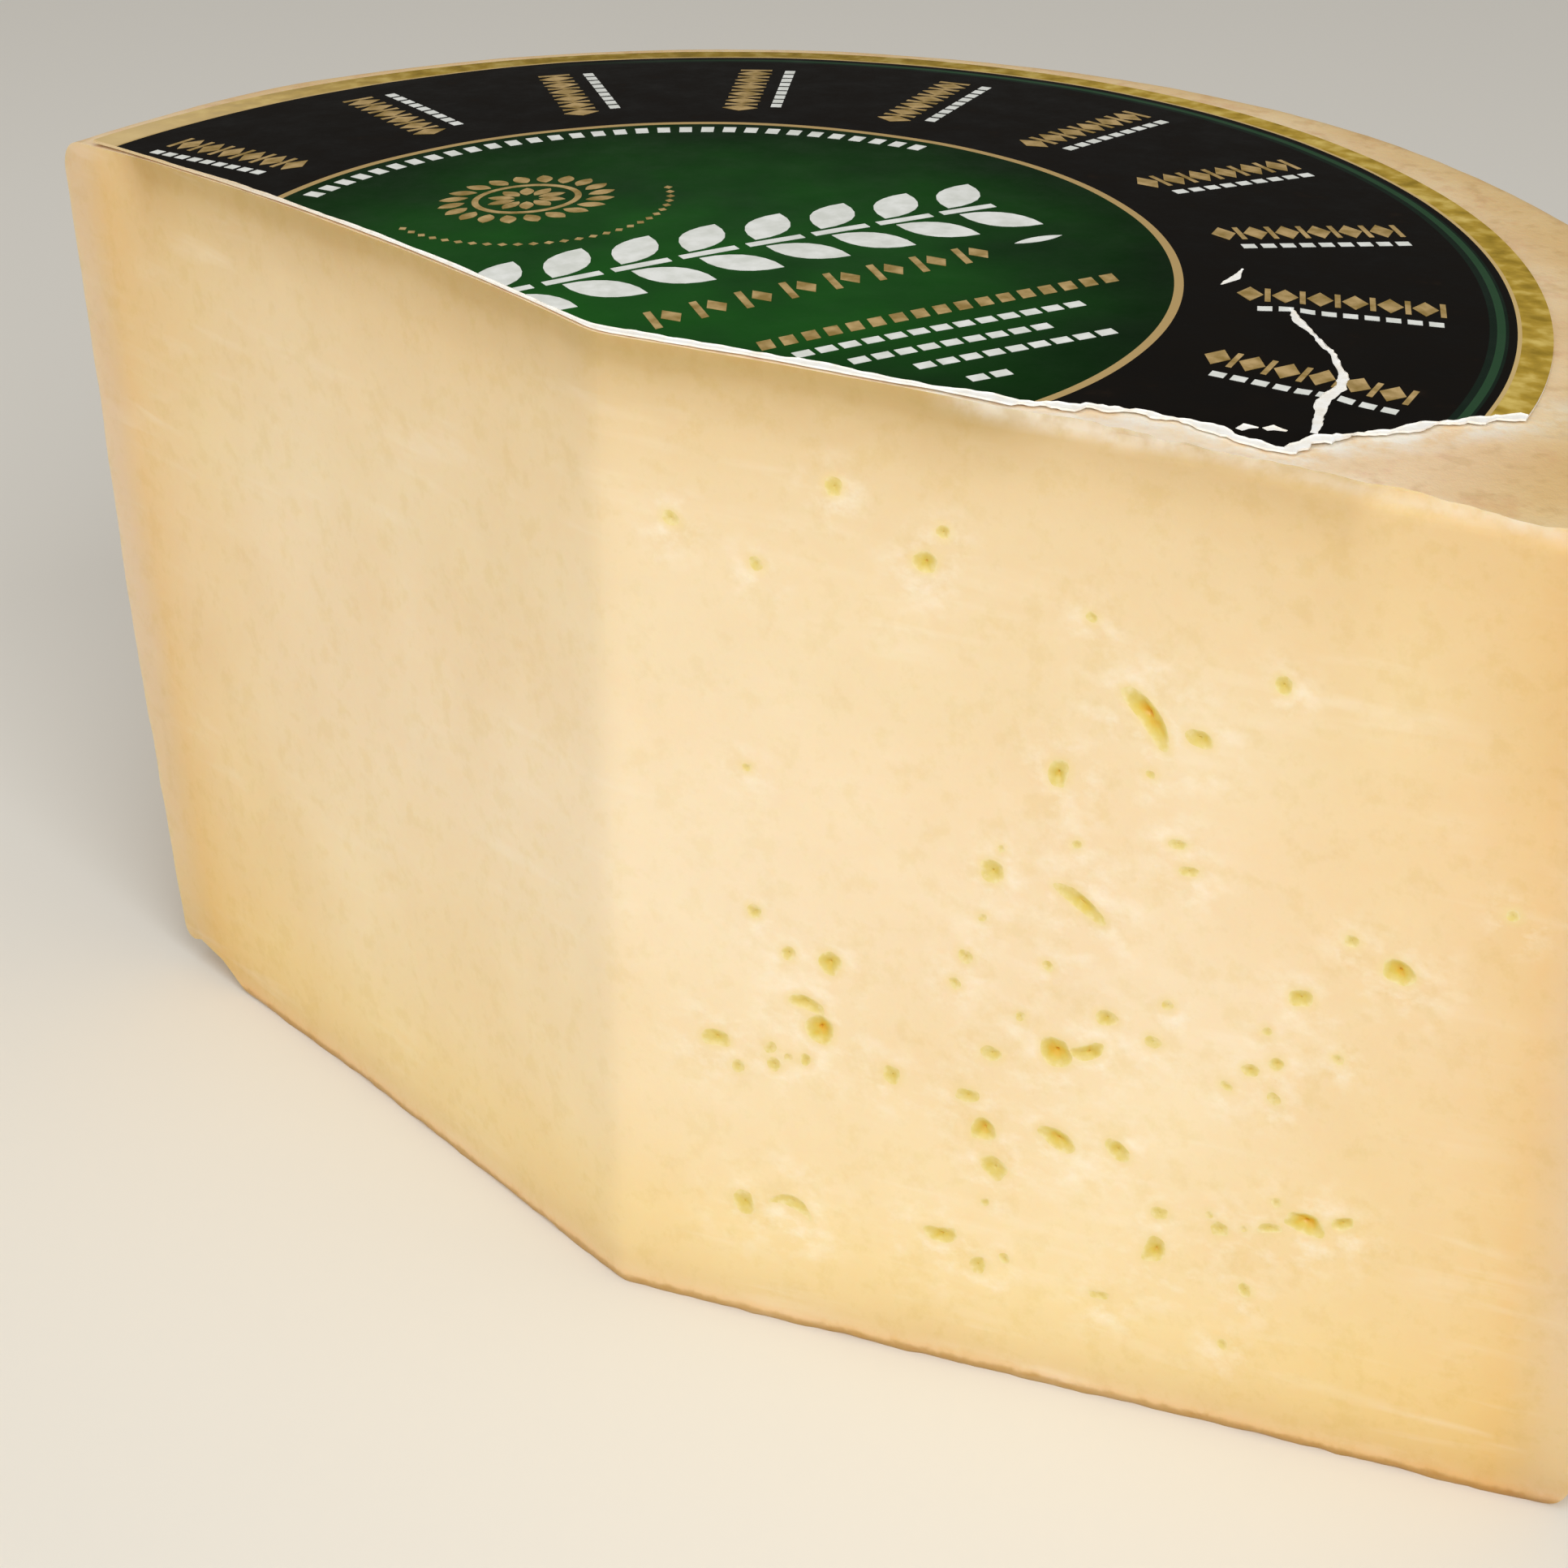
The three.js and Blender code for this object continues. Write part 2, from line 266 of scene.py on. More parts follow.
# %% Paste material
def paste_material():
    material, t, output = new_material("cured_cheese_paste_knife_cut")
    place = add(t, "ShaderNodeTexCoord").outputs["Object"]

    # Cream with slow, faint patches, and a fine crumb that breaks up edges
    patches = add(t, "ShaderNodeTexNoise",
                  {"Vector": place, "Scale": per_metre(26), "Detail": 3.0}).outputs["Fac"]
    body = add(t, "ShaderNodeValToRGB", {"Fac": patches},
               stops=[(0.3, "#efd7b2"), (0.7, "#f4e0c0")]).outputs[0]
    crumb = add(t, "ShaderNodeTexNoise",
                {"Vector": place, "Scale": per_metre(1.5), "Detail": 3.0}).outputs["Fac"]
    toned = tinted_by_depth(t, place, body, crumb)

    # Knots of curd about 3 mm across, a little yellower or paler than what lies between them
    knots = add(t, "ShaderNodeTexNoise", {"Vector": place, "Scale": per_metre(3), "Detail": 5.0,
                                          "Roughness": 0.65})
    knot_tint = add(t, "ShaderNodeValToRGB", {"Fac": knots.outputs["Fac"]},
                    stops=[(0.36, "#fbf9f0"), (0.5, "#ffffff"), (0.66, "#fffdfb")])
    toned = add(t, "ShaderNodeMix", {0: 1.0, 6: toned, 7: knot_tint.outputs[0]},
                data_type="RGBA", blend_type="MULTIPLY").outputs[2]
    pale = knife_smears(t, place, patches)
    colour = add(t, "ShaderNodeMix", {0: pale, 6: toned, 7: linear("#fdf4e4")}, data_type="RGBA").outputs[2]

    # Beside the ridge the blade pressed the paste pale
    pressed = add(t, "ShaderNodeAttribute", attribute_name="beside_ridge").outputs["Fac"]
    colour = add(t, "ShaderNodeMix", {0: pressed, 6: colour, 7: linear("#f9eed6")},
                 data_type="RGBA").outputs[2]

    # Where the label was torn away, paper fibres and dry crumbs whiten the cut's edge
    edge = add(t, "ShaderNodeAttribute", attribute_name="whitened_edge").outputs["Fac"]
    crumbs = add(t, "ShaderNodeMapRange", {0: crumb, 1: 0.35, 2: 0.62, 3: 0.7, 4: 1.3}).outputs[0]
    crumbs = add(t, "ShaderNodeMath", {0: crumbs, 1: edge}, operation="MULTIPLY").outputs[0]
    colour = add(t, "ShaderNodeMix", {0: crumbs, 6: colour, 7: linear("#ece3d5")},
                 data_type="RGBA").outputs[2]

    # Fat that weeps from an eye turns a narrow ring round it yellow
    rim = add(t, "ShaderNodeAttribute", attribute_name="from_rim").outputs["Fac"]
    ring = add(t, "ShaderNodeMapRange", {0: rim, 1: 0.8, 2: 0.0, 4: 0.7}).outputs[0]
    colour = add(t, "ShaderNodeMix", {0: ring, 6: colour, 7: linear("#ecd49c")}, data_type="RGBA").outputs[2]

    # Fine curd grain: soft lumps about 1.3 mm across, rougher in patches, and the smears stand a hair proud
    curd = add(t, "ShaderNodeTexNoise", {"Vector": place, "Scale": per_metre(1.3), "Detail": 5.0,
                                         "Roughness": 0.6}).outputs["Fac"]
    rough_patch = add(t, "ShaderNodeMapRange", {0: patches, 1: 0.35, 2: 0.6, 3: 2.0, 4: 0.8}).outputs[0]
    grain = add(t, "ShaderNodeMath", {0: curd, 1: rough_patch}, operation="MULTIPLY").outputs[0]
    relief = add(t, "ShaderNodeMath", {0: pale, 1: 0.5, 2: grain}, operation="MULTIPLY_ADD").outputs[0]
    bump = add(t, "ShaderNodeBump", {"Height": relief, "Strength": 0.4, "Distance": 0.08 * MM}).outputs[0]
    gloss = add(t, "ShaderNodeMapRange", {0: curd, 1: 0.3, 2: 0.7, 3: 0.42, 4: 0.56}).outputs[0]
    surface = add(t, "ShaderNodeBsdfPrincipled", {
        "Base Color": colour, "Roughness": gloss, "Normal": bump, "IOR": 1.45, "Specular IOR Level": 0.35,
        "Subsurface Weight": 0.35, "Subsurface Radius": (1.0, 0.62, 0.28), "Subsurface Scale": 2.5 * MM,
    })
    t.links.new(surface.outputs[0], output.inputs["Surface"])
    return material


PASTE = paste_material()
print("made", PASTE.name)

# %% [markdown]
# ### Rind
#
# The rind is the same paste dried hard: matt, beige, mottled with pinkish and darker spots, and grained by
# the cloth that lined the mould. Where the label was torn away, thin paper fibres stay on it and make it
# whitish. Three sizes of noise make the mottling, as a single one would look too even, and the places that
# the label and the tear decide come from attributes again.

# %% Rind material
def rind_material():
    material, t, output = new_material("dried_cheese_rind_cloth_pressed")
    place = add(t, "ShaderNodeTexCoord").outputs["Object"]

    # Broad mottling, pinkish spots and dark specks
    broad = add(t, "ShaderNodeTexNoise", {"Vector": place, "Scale": per_metre(15), "Detail": 4.0})
    body = add(t, "ShaderNodeValToRGB", {"Fac": broad.outputs["Fac"]},
               stops=[(0.3, "#eecda2"), (0.5, "#f6dab3"), (0.7, "#fce6c6")])
    spots = add(t, "ShaderNodeTexNoise",
                {"Vector": place, "Scale": per_metre(4.2), "Detail": 4.0, "Roughness": 0.65})
    pink = add(t, "ShaderNodeMapRange", {0: spots.outputs["Fac"], 1: 0.53, 2: 0.66, 4: 0.55}).outputs[0]
    colour = add(t, "ShaderNodeMix", {0: pink, 6: body.outputs[0], 7: linear("#ecc4a0")},
                 data_type="RGBA").outputs[2]
    specks = add(t, "ShaderNodeTexNoise", {"Vector": place, "Scale": per_metre(2.2), "Detail": 4.0})
    dark = add(t, "ShaderNodeMapRange", {0: specks.outputs["Fac"], 1: 0.47, 2: 0.3, 4: 0.32}).outputs[0]
    colour = add(t, "ShaderNodeMix", {0: dark, 6: colour, 7: linear("#c9a473")}, data_type="RGBA").outputs[2]

    # Paper fibres within a few millimetres of the torn edge, and the whitened edge of the cut
    tear = add(t, "ShaderNodeAttribute", attribute_name="from_tear").outputs["Fac"]
    near_tear = add(t, "ShaderNodeMapRange", {0: tear, 1: 5.0, 2: 1.5}).outputs[0]
    fibre_edge = add(t, "ShaderNodeMapRange", {0: spots.outputs["Fac"], 1: 0.4, 2: 0.6}).outputs[0]
    fibres = add(t, "ShaderNodeMath", {0: fibre_edge, 1: near_tear}, operation="MULTIPLY").outputs[0]
    colour = add(t, "ShaderNodeMix", {0: fibres, 6: colour, 7: linear("#f8efdf")},
                 data_type="RGBA").outputs[2]
    edge = add(t, "ShaderNodeAttribute", attribute_name="whitened_edge").outputs["Fac"]
    crumbs = add(t, "ShaderNodeMapRange",
                 {0: specks.outputs["Fac"], 1: 0.35, 2: 0.62, 3: 0.7, 4: 1.3}).outputs[0]
    crumbs = add(t, "ShaderNodeMath", {0: crumbs, 1: edge}, operation="MULTIPLY").outputs[0]
    colour = add(t, "ShaderNodeMix", {0: crumbs, 6: colour, 7: linear("#f4e8d6")},
                 data_type="RGBA").outputs[2]

    # Past the label's border the rim and the wall were handled more, and are yellower and a little darker
    outer = add(t, "ShaderNodeAttribute", attribute_name="past_label").outputs["Fac"]
    colour = add(t, "ShaderNodeMix", {0: outer, 6: colour, 7: linear("#ece1c2")},
                 data_type="RGBA", blend_type="MULTIPLY").outputs[2]

    # Cloth threads about 0.9 mm apart, pressed in so shallow that they break up into a grain
    threads = add(t, "ShaderNodeTexNoise",
                  {"Vector": place, "Scale": per_metre(0.9), "Detail": 3.0, "Roughness": 0.7})
    relief = add(t, "ShaderNodeMath", {0: spots.outputs["Fac"], 1: 1.6, 2: threads.outputs["Fac"]},
                 operation="MULTIPLY_ADD").outputs[0]
    bump = add(t, "ShaderNodeBump", {"Height": relief, "Strength": 0.6, "Distance": 0.12 * MM}).outputs[0]
    surface = add(t, "ShaderNodeBsdfPrincipled", {
        "Base Color": colour, "Roughness": 0.68, "Normal": bump, "IOR": 1.45, "Specular IOR Level": 0.3,
        "Subsurface Weight": 0.12, "Subsurface Radius": (1.0, 0.6, 0.3), "Subsurface Scale": 1.2 * MM,
    })
    t.links.new(surface.outputs[0], output.inputs["Surface"])
    return material


RIND = rind_material()
print("made", RIND.name)

# %% [markdown]
# ### Eye lining
#
# The small eyes are gas holes. The knife opens them, and their walls are wetter and glossier than the cut. At
# the rim they are as pale as the ring round them, and they turn golden as they get deeper, because light
# bounces about inside before it comes out. The eyes are too small for the renderer to find that colour by
# itself in a few bounces, so the mesh carries their depth as one more attribute, and a ramp gives the gold.

# %% Eye material
def eye_material():
    material, t, output = new_material("wet_eye_wall_in_cheese")
    place = add(t, "ShaderNodeTexCoord").outputs["Object"]
    deep = add(t, "ShaderNodeAttribute", attribute_name="eye_depth").outputs["Fac"]
    mottle = add(t, "ShaderNodeTexNoise", {"Vector": place, "Scale": per_metre(0.9), "Detail": 3.0})
    uneven = add(t, "ShaderNodeMath", {0: mottle.outputs["Fac"], 1: 0.5, 2: deep},
                 operation="MULTIPLY_ADD").outputs[0]
    colour = add(t, "ShaderNodeValToRGB", {"Fac": uneven},
                 stops=[(0.2, "#eddaa6"), (0.36, "#e2cd80"), (0.6, "#dec45c"), (1.0, "#e4ae1c")])
    bump = add(t, "ShaderNodeBump",
               {"Height": mottle.outputs["Fac"], "Strength": 0.3, "Distance": 0.08 * MM}).outputs[0]
    surface = add(t, "ShaderNodeBsdfPrincipled", {
        "Base Color": colour.outputs[0], "Roughness": 0.34, "Normal": bump, "IOR": 1.45,
        "Subsurface Weight": 0.6, "Subsurface Radius": (1.0, 0.73, 0.33), "Subsurface Scale": 1.8 * MM,
    })
    t.links.new(surface.outputs[0], output.inputs["Surface"])
    return material


EYE_WALL = eye_material()
print("made", EYE_WALL.name)

# %% [markdown]
# ## The wheel
#
# The piece was once a whole wheel, so it is made as one: a half section turned round the axis, as on a lathe.
# The wall leans a little, the top is slightly domed, both edges are rounded, and as the wheel aged it slumped
# forward and its foot curled up beside what is now the left cut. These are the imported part's own sizes. It
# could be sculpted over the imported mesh, but a section keeps the true sizes, and its steps can be made fine
# where they show.

# %% Sizes of the wheel, in millimetres
TOP_RADIUS = 97.0       # of the wall at the rim
FOOT_RADIUS = 92.4
BELLY = 0.8             # how far the wall swells between foot and rim
HEIGHT = 102.8          # of the rim
DOME = 4.2              # how much higher the middle of the top is
DOME_RADIUS = 94.7      # where the dome is down at the rim's height
TOP_EDGE = 4.0          # radius of the rounded edge
FOOT_EDGE = 3.5
FOOT_SHIFT = (4.1, -3.9)   # where the foot's and the top's middles are, as the wheel slumped
TOP_SHIFT = (0.3, 0.0)
# Angles are in degrees. The foot lifts between two radii, less so at its lip, and that fades at a height.
CURL = {"angle": 138, "spread": 34, "lift": 4.0, "lip": 1.8, "inner": 78, "outer": 88, "fade": 26}
TUCK = {"angle": 138, "spread": 20, "rim": 2.6}   # the rind drawn in at the rim
BARE_INNER = 62.0       # radius inside which the label covers the top, so that few rows are enough


def dome_height(r):
    """Height of the top at a distance from its middle."""
    return HEIGHT + DOME * (1 - (r / DOME_RADIUS) ** 2)


def top_height(x, y):
    """Height of the top at a place."""
    return dome_height(np.hypot(x - TOP_SHIFT[0], y - TOP_SHIFT[1]))


def wall_radius(z):
    """Radius of the wheel's wall at a height."""
    edge_height = dome_height(TOP_RADIUS - TOP_EDGE) - TOP_EDGE
    t = np.clip((z - FOOT_EDGE) / (edge_height - FOOT_EDGE), 0, 1)
    return mix(FOOT_RADIUS, TOP_RADIUS, t) + BELLY * np.sin(math.pi * t)


def wheel_section(wall_rows, edge_rows, rim_rows, inner_rows):
    """The half section as (radius, height) rows, from the middle of the base round to that of the top."""
    flat = FOOT_RADIUS - FOOT_EDGE
    rows = [(flat * share, 0.0) for share in (0.0, 0.4, 0.7, 0.84, 0.9, 0.95)]
    for a in np.linspace(-math.pi / 2, 0, edge_rows + 1):
        rows.append((flat + FOOT_EDGE * math.cos(a), FOOT_EDGE * (1 + math.sin(a))))
    edge_radius = TOP_RADIUS - TOP_EDGE
    edge_height = dome_height(edge_radius) - TOP_EDGE
    for z in np.linspace(FOOT_EDGE, edge_height, wall_rows + 1)[1:-1]:
        rows.append((float(wall_radius(z)), z))
    slope = math.atan(2 * DOME * edge_radius / DOME_RADIUS ** 2)
    for a in np.linspace(0, math.pi / 2 - slope, edge_rows + 1):
        rows.append((edge_radius + TOP_EDGE * math.cos(a), edge_height + TOP_EDGE * math.sin(a)))
    for r in np.linspace(edge_radius, BARE_INNER, rim_rows + 1)[1:]:
        rows.append((r, dome_height(r)))
    for r in np.linspace(BARE_INNER, 0, inner_rows + 1)[1:]:
        rows.append((r, dome_height(r)))
    return np.array(rows)


def slump(points):
    """Curls the foot up beside the left cut, draws the rind in there, and leans the wheel as it slumped."""
    x, y, z = points[..., 0], points[..., 1], points[..., 2]
    angle = np.degrees(np.arctan2(y, x))
    beside = ease(1 - np.abs(angle - CURL["angle"]) / CURL["spread"])
    r = np.hypot(x, y)
    rise = CURL["lift"] * ease((r - CURL["inner"]) / (CURL["outer"] - CURL["inner"]))
    lip = CURL["lip"] * ease((r - CURL["outer"]) / (FOOT_RADIUS - CURL["outer"]))
    z = z + (rise - lip) * beside * np.maximum(0, 1 - z / CURL["fade"])
    t = z / HEIGHT
    tuck = mix(0, TUCK["rim"], t) * ease(1 - np.abs(angle - TUCK["angle"]) / TUCK["spread"])
    drawn = 1 - tuck * ease(r / TOP_RADIUS) / TOP_RADIUS
    return np.stack([x * drawn + mix(FOOT_SHIFT[0], TOP_SHIFT[0], t),
                     y * drawn + mix(FOOT_SHIFT[1], TOP_SHIFT[1], t), z], axis=-1)


print("rim radius over height:", round(TOP_RADIUS / HEIGHT, 3))

# %% [markdown]
# The rind's own relief is worked into the points before they are turned into a mesh: slow hollows 30 mm
# across, lumps 9 mm across and small pits. Bump alone would leave the outline as smooth as plastic. On the
# top it is shallow and mostly goes inwards, so that it never pokes through the paper.

# %% Turn the wheel
KEPT_ANGLES = (-42.0, 148.0)   # the side of the wheel that the cuts leave, in degrees
FINE_TURN = 0.95               # between points on the side that is kept
COARSE_TURN = 8.0              # on the side that is cut away
# Height and size in mm, and the noise's seed
RIND_RELIEF = ((0.3, 30, 3.1), (0.14, 9, 7.7), (0.07, 2.8, 1.3))
TOP_RELIEF = {"level": -0.07, "share": 0.2, "highest": 0.3}   # the same relief, pressed flat on the top


def turned_wheel():
    """The whole wheel as one closed mesh."""
    section = wheel_section(wall_rows=64, edge_rows=7, rim_rows=26, inner_rows=9)
    start, end = KEPT_ANGLES
    fine = np.arange(start, end, FINE_TURN)
    coarse = np.arange(end, start + 360, COARSE_TURN)
    turn = np.radians(np.concatenate([fine, coarse]))
    along = np.gradient(section, axis=0)
    normal = np.stack([along[:, 1], -along[:, 0]], axis=1)
    normal /= np.maximum(np.hypot(normal[:, 0], normal[:, 1]), 1e-9)[:, None]

    grid = np.stack([np.outer(section[:, 0], np.cos(turn)), np.outer(section[:, 0], np.sin(turn)),
                     np.repeat(section[:, 1:2], len(turn), axis=1)], axis=-1)
    relief = sum(height * lumps(grid, size, seed) for height, size, seed in RIND_RELIEF)
    pressed = TOP_RELIEF["level"] + TOP_RELIEF["share"] * np.minimum(relief, TOP_RELIEF["highest"])
    relief = mix(relief, pressed, ease(section[:, 1] - HEIGHT + 1.0)[:, None])
    relief = relief * ease(section[:, 1] / 1.5)[:, None]   # none on the flat base
    radial = section[:, 0:1] + normal[:, 0:1] * relief
    height = section[:, 1:2] + normal[:, 1:2] * relief
    grid = np.stack([radial * np.cos(turn), radial * np.sin(turn), height], axis=-1)
    grid = slump(grid)

    rows, columns = grid.shape[:2]
    points = [grid[0, 0]] + list(grid[1:-1].reshape(-1, 3)) + [grid[-1, 0]]
    last = len(points) - 1
    faces = []
    for j in range(columns):
        k = (j + 1) % columns
        faces.append((0, 1 + k, 1 + j))
        top_row = 1 + (rows - 3) * columns
        faces.append((last, top_row + j, top_row + k))
        for i in range(rows - 3):
            a, b = 1 + i * columns, 1 + (i + 1) * columns
            faces.append((a + j, a + k, b + k, b + j))
    return piece_from("cheese_body", points, faces, RIND)


cheese = turned_wheel()
print("wheel points:", len(cheese.data.vertices))

# %% [markdown]
# ## The two knife cuts
#
# Both cuts are one sheet of points that runs from the right end to the ridge and on to the left end. The
# ridge is softened over two millimetres, as a soft paste can't hold a razor edge. The left face is dished,
# both carry the slow waves of the blade, and fine noise adds the curd's own grain. Two flat knives would be
# simpler, but they would leave faces like planed wood. A place on the sheet is named by its distance s from
# the ridge and its share w of the height.

# %% The line of the cuts
RIDGE = {"base": (-8.2, -10.1), "rim": (-7.6, -10.1)}
LEFT_END = {"base": (-69.1, 64.4), "rim": (-70.2, 63.6)}
RIGHT_END = {"base": (81.4, -48.0), "rim": (79.7, -52.0)}
LEFT_HOLLOW = 0.85      # how deep the left face is dished, in mm
KNIFE_WAVE = 0.22       # height of the blade's slow waves, in mm
RIDGE_SOFTNESS = 2.2    # mm to each side over which the ridge is rounded
FOOT_SOFTNESS = 1.0     # the same at the foot of the ridge
FOOT_SHARE = 0.08       # share of the height over which one goes over into the other
CURD_RELIEF = ((0.07, 11, 5.5), (0.035, 3.2, 2.2))   # height and size in mm, and the noise's seed
AIR_DEPTH = 150.0       # mm of air in front of the cuts, more than is left of the wheel there
LEFT_REACH = math.dist(LEFT_END["base"], RIDGE["base"])
RIGHT_REACH = math.dist(RIGHT_END["base"], RIDGE["base"])


def between(corner, w):
    """A corner's place, w of the way from the base to the rim."""
    base, rim = np.array(corner["base"]), np.array(corner["rim"])
    return base + (rim - base) * w[..., None]


def cut_point(s, w, out):
    """Points of the cuts: s mm from the ridge (negative on the right), w of the height up, out in mm."""
    s, w, out = np.broadcast_arrays(np.asarray(s, float), np.asarray(w, float), np.asarray(out, float))
    ridge = between(RIDGE, w)
    to_left = (between(LEFT_END, w) - ridge) / LEFT_REACH
    to_right = (between(RIGHT_END, w) - ridge) / RIGHT_REACH
    straight = ridge + np.where((s > 0)[..., None], to_left * s[..., None], -to_right * s[..., None])
    bend = mix(FOOT_SOFTNESS, RIDGE_SOFTNESS, ease(w / FOOT_SHARE))
    u = np.clip((s + bend) / (2 * bend), 0, 1)[..., None]
    soft = ridge + (1 - u) ** 2 * to_right * bend[..., None] + u ** 2 * to_left * bend[..., None]
    line = np.where((np.abs(s) < bend)[..., None], soft, straight)
    heading = mix(-to_right, to_left, u)
    heading /= np.hypot(heading[..., 0], heading[..., 1])[..., None]
    x = line[..., 0] - heading[..., 1] * out
    y = line[..., 1] + heading[..., 0] * out
    return np.stack([x, y, w * HEIGHT], axis=-1)


def blade_relief(s, w):
    """How far the blade's path stands out from the straight cut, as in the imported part."""
    left_t = s / LEFT_REACH
    right_t = 1 + s / RIGHT_REACH
    on_left = s > 0
    t = np.where(on_left, left_t, right_t)
    phase = np.where(on_left, 0.6, 2.1)
    inside = np.where((t > 0) & (t < 1), 4 * t * (1 - t), 0)
    # Two crossing waves, with other phases on each face
    wave = np.sin(7 * t + 3 * w + phase) + np.sin(4 * t - 8 * w + 2 * phase)
    return inside * (KNIFE_WAVE * 0.5 * wave - np.where(on_left, LEFT_HOLLOW, 0.0))


def cut_level(s, w):
    """The blade's path with the curd's own unevenness on it."""
    level, middle = blade_relief(s, w), cut_point(s, w, 0 * s)
    for height, size, seed in CURD_RELIEF:
        level = level + height * lumps(middle, size, seed)
    return level


print("face lengths in mm:", round(LEFT_REACH, 1), round(RIGHT_REACH, 1))

# %% [markdown]
# At the right a piece of the label was torn away. Its torn line is needed before the cut, because the bare
# top has a crumbled edge there, which the paper kept together elsewhere. It is a few listed corners, as
# a tear follows no rule, and the short steps between them come later from noise.

# %% The torn line of the label
# Corners as x and y in mm, from the front of the right cut to past the rim
TEAR = [
    (22, -26), (28, -26.6), (34.8, -27.7), (39.3, -27.9), (43.5, -29.4), (47.5, -31.6), (52.6, -35.8),
    (55.7, -33.5), (59.6, -32.2), (63.9, -30.6), (67.5, -28.6), (71.6, -27.4), (78, -25.8), (96, -22),
]
FAR = 99.0                  # mm, a distance that stands for nowhere near
LABEL_CENTRE = (0.0, 7.6)   # mm from the wheel's axis, as it was glued on off centre
LABEL_RADIUS = 82.9
# Where the bare top begins, in mm: inside the label's edge and over how far, and the same behind the tear
BORDER_BLEND = {"inside": 10.0, "over": 9.0}
TEAR_BLEND = {"behind": 1.0, "over": 3.0, "from_x": 27.0, "along": 9.0}


def bare_top(x, y):
    """Two values from 0 to 1: past the label's border, and where the label was torn away."""
    from_edge = np.hypot(x - LABEL_CENTRE[0], y - LABEL_CENTRE[1]) - LABEL_RADIUS
    past_border = ease((from_edge + BORDER_BLEND["inside"]) / BORDER_BLEND["over"])
    corner_x, corner_y = np.array(TEAR).T
    past_tear = ease((np.interp(x, corner_x, corner_y) - y + TEAR_BLEND["behind"]) / TEAR_BLEND["over"])
    return past_border, past_tear * ease((x - TEAR_BLEND["from_x"]) / TEAR_BLEND["along"])


print("torn line reaches", TEAR[-1][0], "mm to the right of the wheel's axis")

# %% [markdown]
# The edges of a real cut aren't sharp all along. At the foot the paste breaks off by less than half a
# millimetre where the blade came through, which shades a thin dark line under the piece, and the paste's
# tint at the foot adds painted shade to that line. On the bare top at the right it crumbled back by about a
# millimetre. A bevel would make both as even as on a machined part, so the sheet of the cuts is moved back
# there instead, by an amount that noise makes uneven. A second sheet far in front of it closes the block of
# air, and one Boolean takes the block out of the wheel.

# %% Cut the wheel
AIR_HEADING = np.array([-0.606, -0.796, 0.0])   # straight out between the two faces
FOOT_CRUMBLE = {"back": 0.36, "up": 0.8}        # mm into the paste, and mm of height over which that fades
TOP_CRUMBLE = {"back": 1.0, "down": 1.8}
RIGHT_STEP, LEFT_STEP, ROW_STEP = 0.6, 1.0, 0.6   # mm between the sheet's points; the left is smoother


def slab(front, back):
    """Faces and points of the closed block between two grids of points."""
    rows, columns = front.shape[:2]
    points = np.concatenate([front.reshape(-1, 3), back.reshape(-1, 3)])
    count = rows * columns
    faces = []
    for i in range(rows - 1):
        for j in range(columns - 1):
            a = i * columns + j
            faces.append((a, a + 1, a + columns + 1, a + columns))
            faces.append((count + a, count + a + columns, count + a + columns + 1, count + a + 1))
    for i in range(rows - 1):
        for j in (0, columns - 1):
            a, b = i * columns + j, (i + 1) * columns + j
            faces.append((a, b, count + b, count + a))
    for j in range(columns - 1):
        for i in (0, rows - 1):
            a = i * columns + j
            faces.append((a, a + 1, count + a + 1, count + a))
    return points, faces


def air_block(name, s, w, out, material):
    """The air in front of the cuts, as a closed block with the cut surface as its front."""
    front = cut_point(s[None, :], w[:, None], out)
    return piece_from(name, *slab(front, front + AIR_HEADING * AIR_DEPTH), material)


def crumbled_edges(s, w):
    """How far the cut's edges have crumbled back: all along the foot, and on the bare top at the right."""
    place = cut_point(s, w, 0 * s)
    x, y, z = place[..., 0], place[..., 1], place[..., 2]
    ragged_by = 0.75 + 0.5 * lumps(place, 5, 8.2) + 0.3 * lumps(place, 1.6, 1.9)
    foot = FOOT_CRUMBLE["back"] * np.clip(1 - z / FOOT_CRUMBLE["up"], 0, 1) ** 1.5
    top = TOP_CRUMBLE["back"] * ease(1 - (top_height(x, y) - z) / TOP_CRUMBLE["down"]) * (s < 0)
    top = top * np.maximum(*bare_top(x, y))
    return (foot + top) * np.clip(ragged_by, 0.3, 1.6)


def knife():
    """The block of air, with fine steps on the piece and a few wide ones past it on all sides."""
    s = np.concatenate([np.linspace(-RIGHT_REACH * 1.7, -RIGHT_REACH - 3, 6),
                        np.arange(-RIGHT_REACH - 2.4, 0, RIGHT_STEP),
                        np.arange(0, LEFT_REACH + 2.4, LEFT_STEP),
                        np.linspace(LEFT_REACH + 3, LEFT_REACH * 1.7, 6)])
    foot_rows = [-10.0, -5.0, -0.6, 0.0, 0.15, 0.35, 0.6, 0.9]
    w = np.concatenate([foot_rows, np.arange(1.4, 108.6, ROW_STEP), [113.0, 123.0]]) / HEIGHT
    s_grid, w_grid = np.meshgrid(s, w)
    return air_block("knife", s, w, cut_level(s_grid, w_grid) - crumbled_edges(s_grid, w_grid), PASTE)


cut(cheese, knife())
print("after the cuts:", len(cheese.data.polygons), "faces,", [m.name for m in cheese.data.materials])

# %% [markdown]
# ## The eyes
#
# A cured paste has few and small eyes, nearly all of them in the right face's lower half. Few are round: they
# are ovals, commas and bent strokes with blunt ends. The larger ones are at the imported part's places, as a
# list, because where gas gathers in curd follows no rule. Specks of about a millimetre are strewn round them
# by a seeded draw, so that they fall the same way at each run.

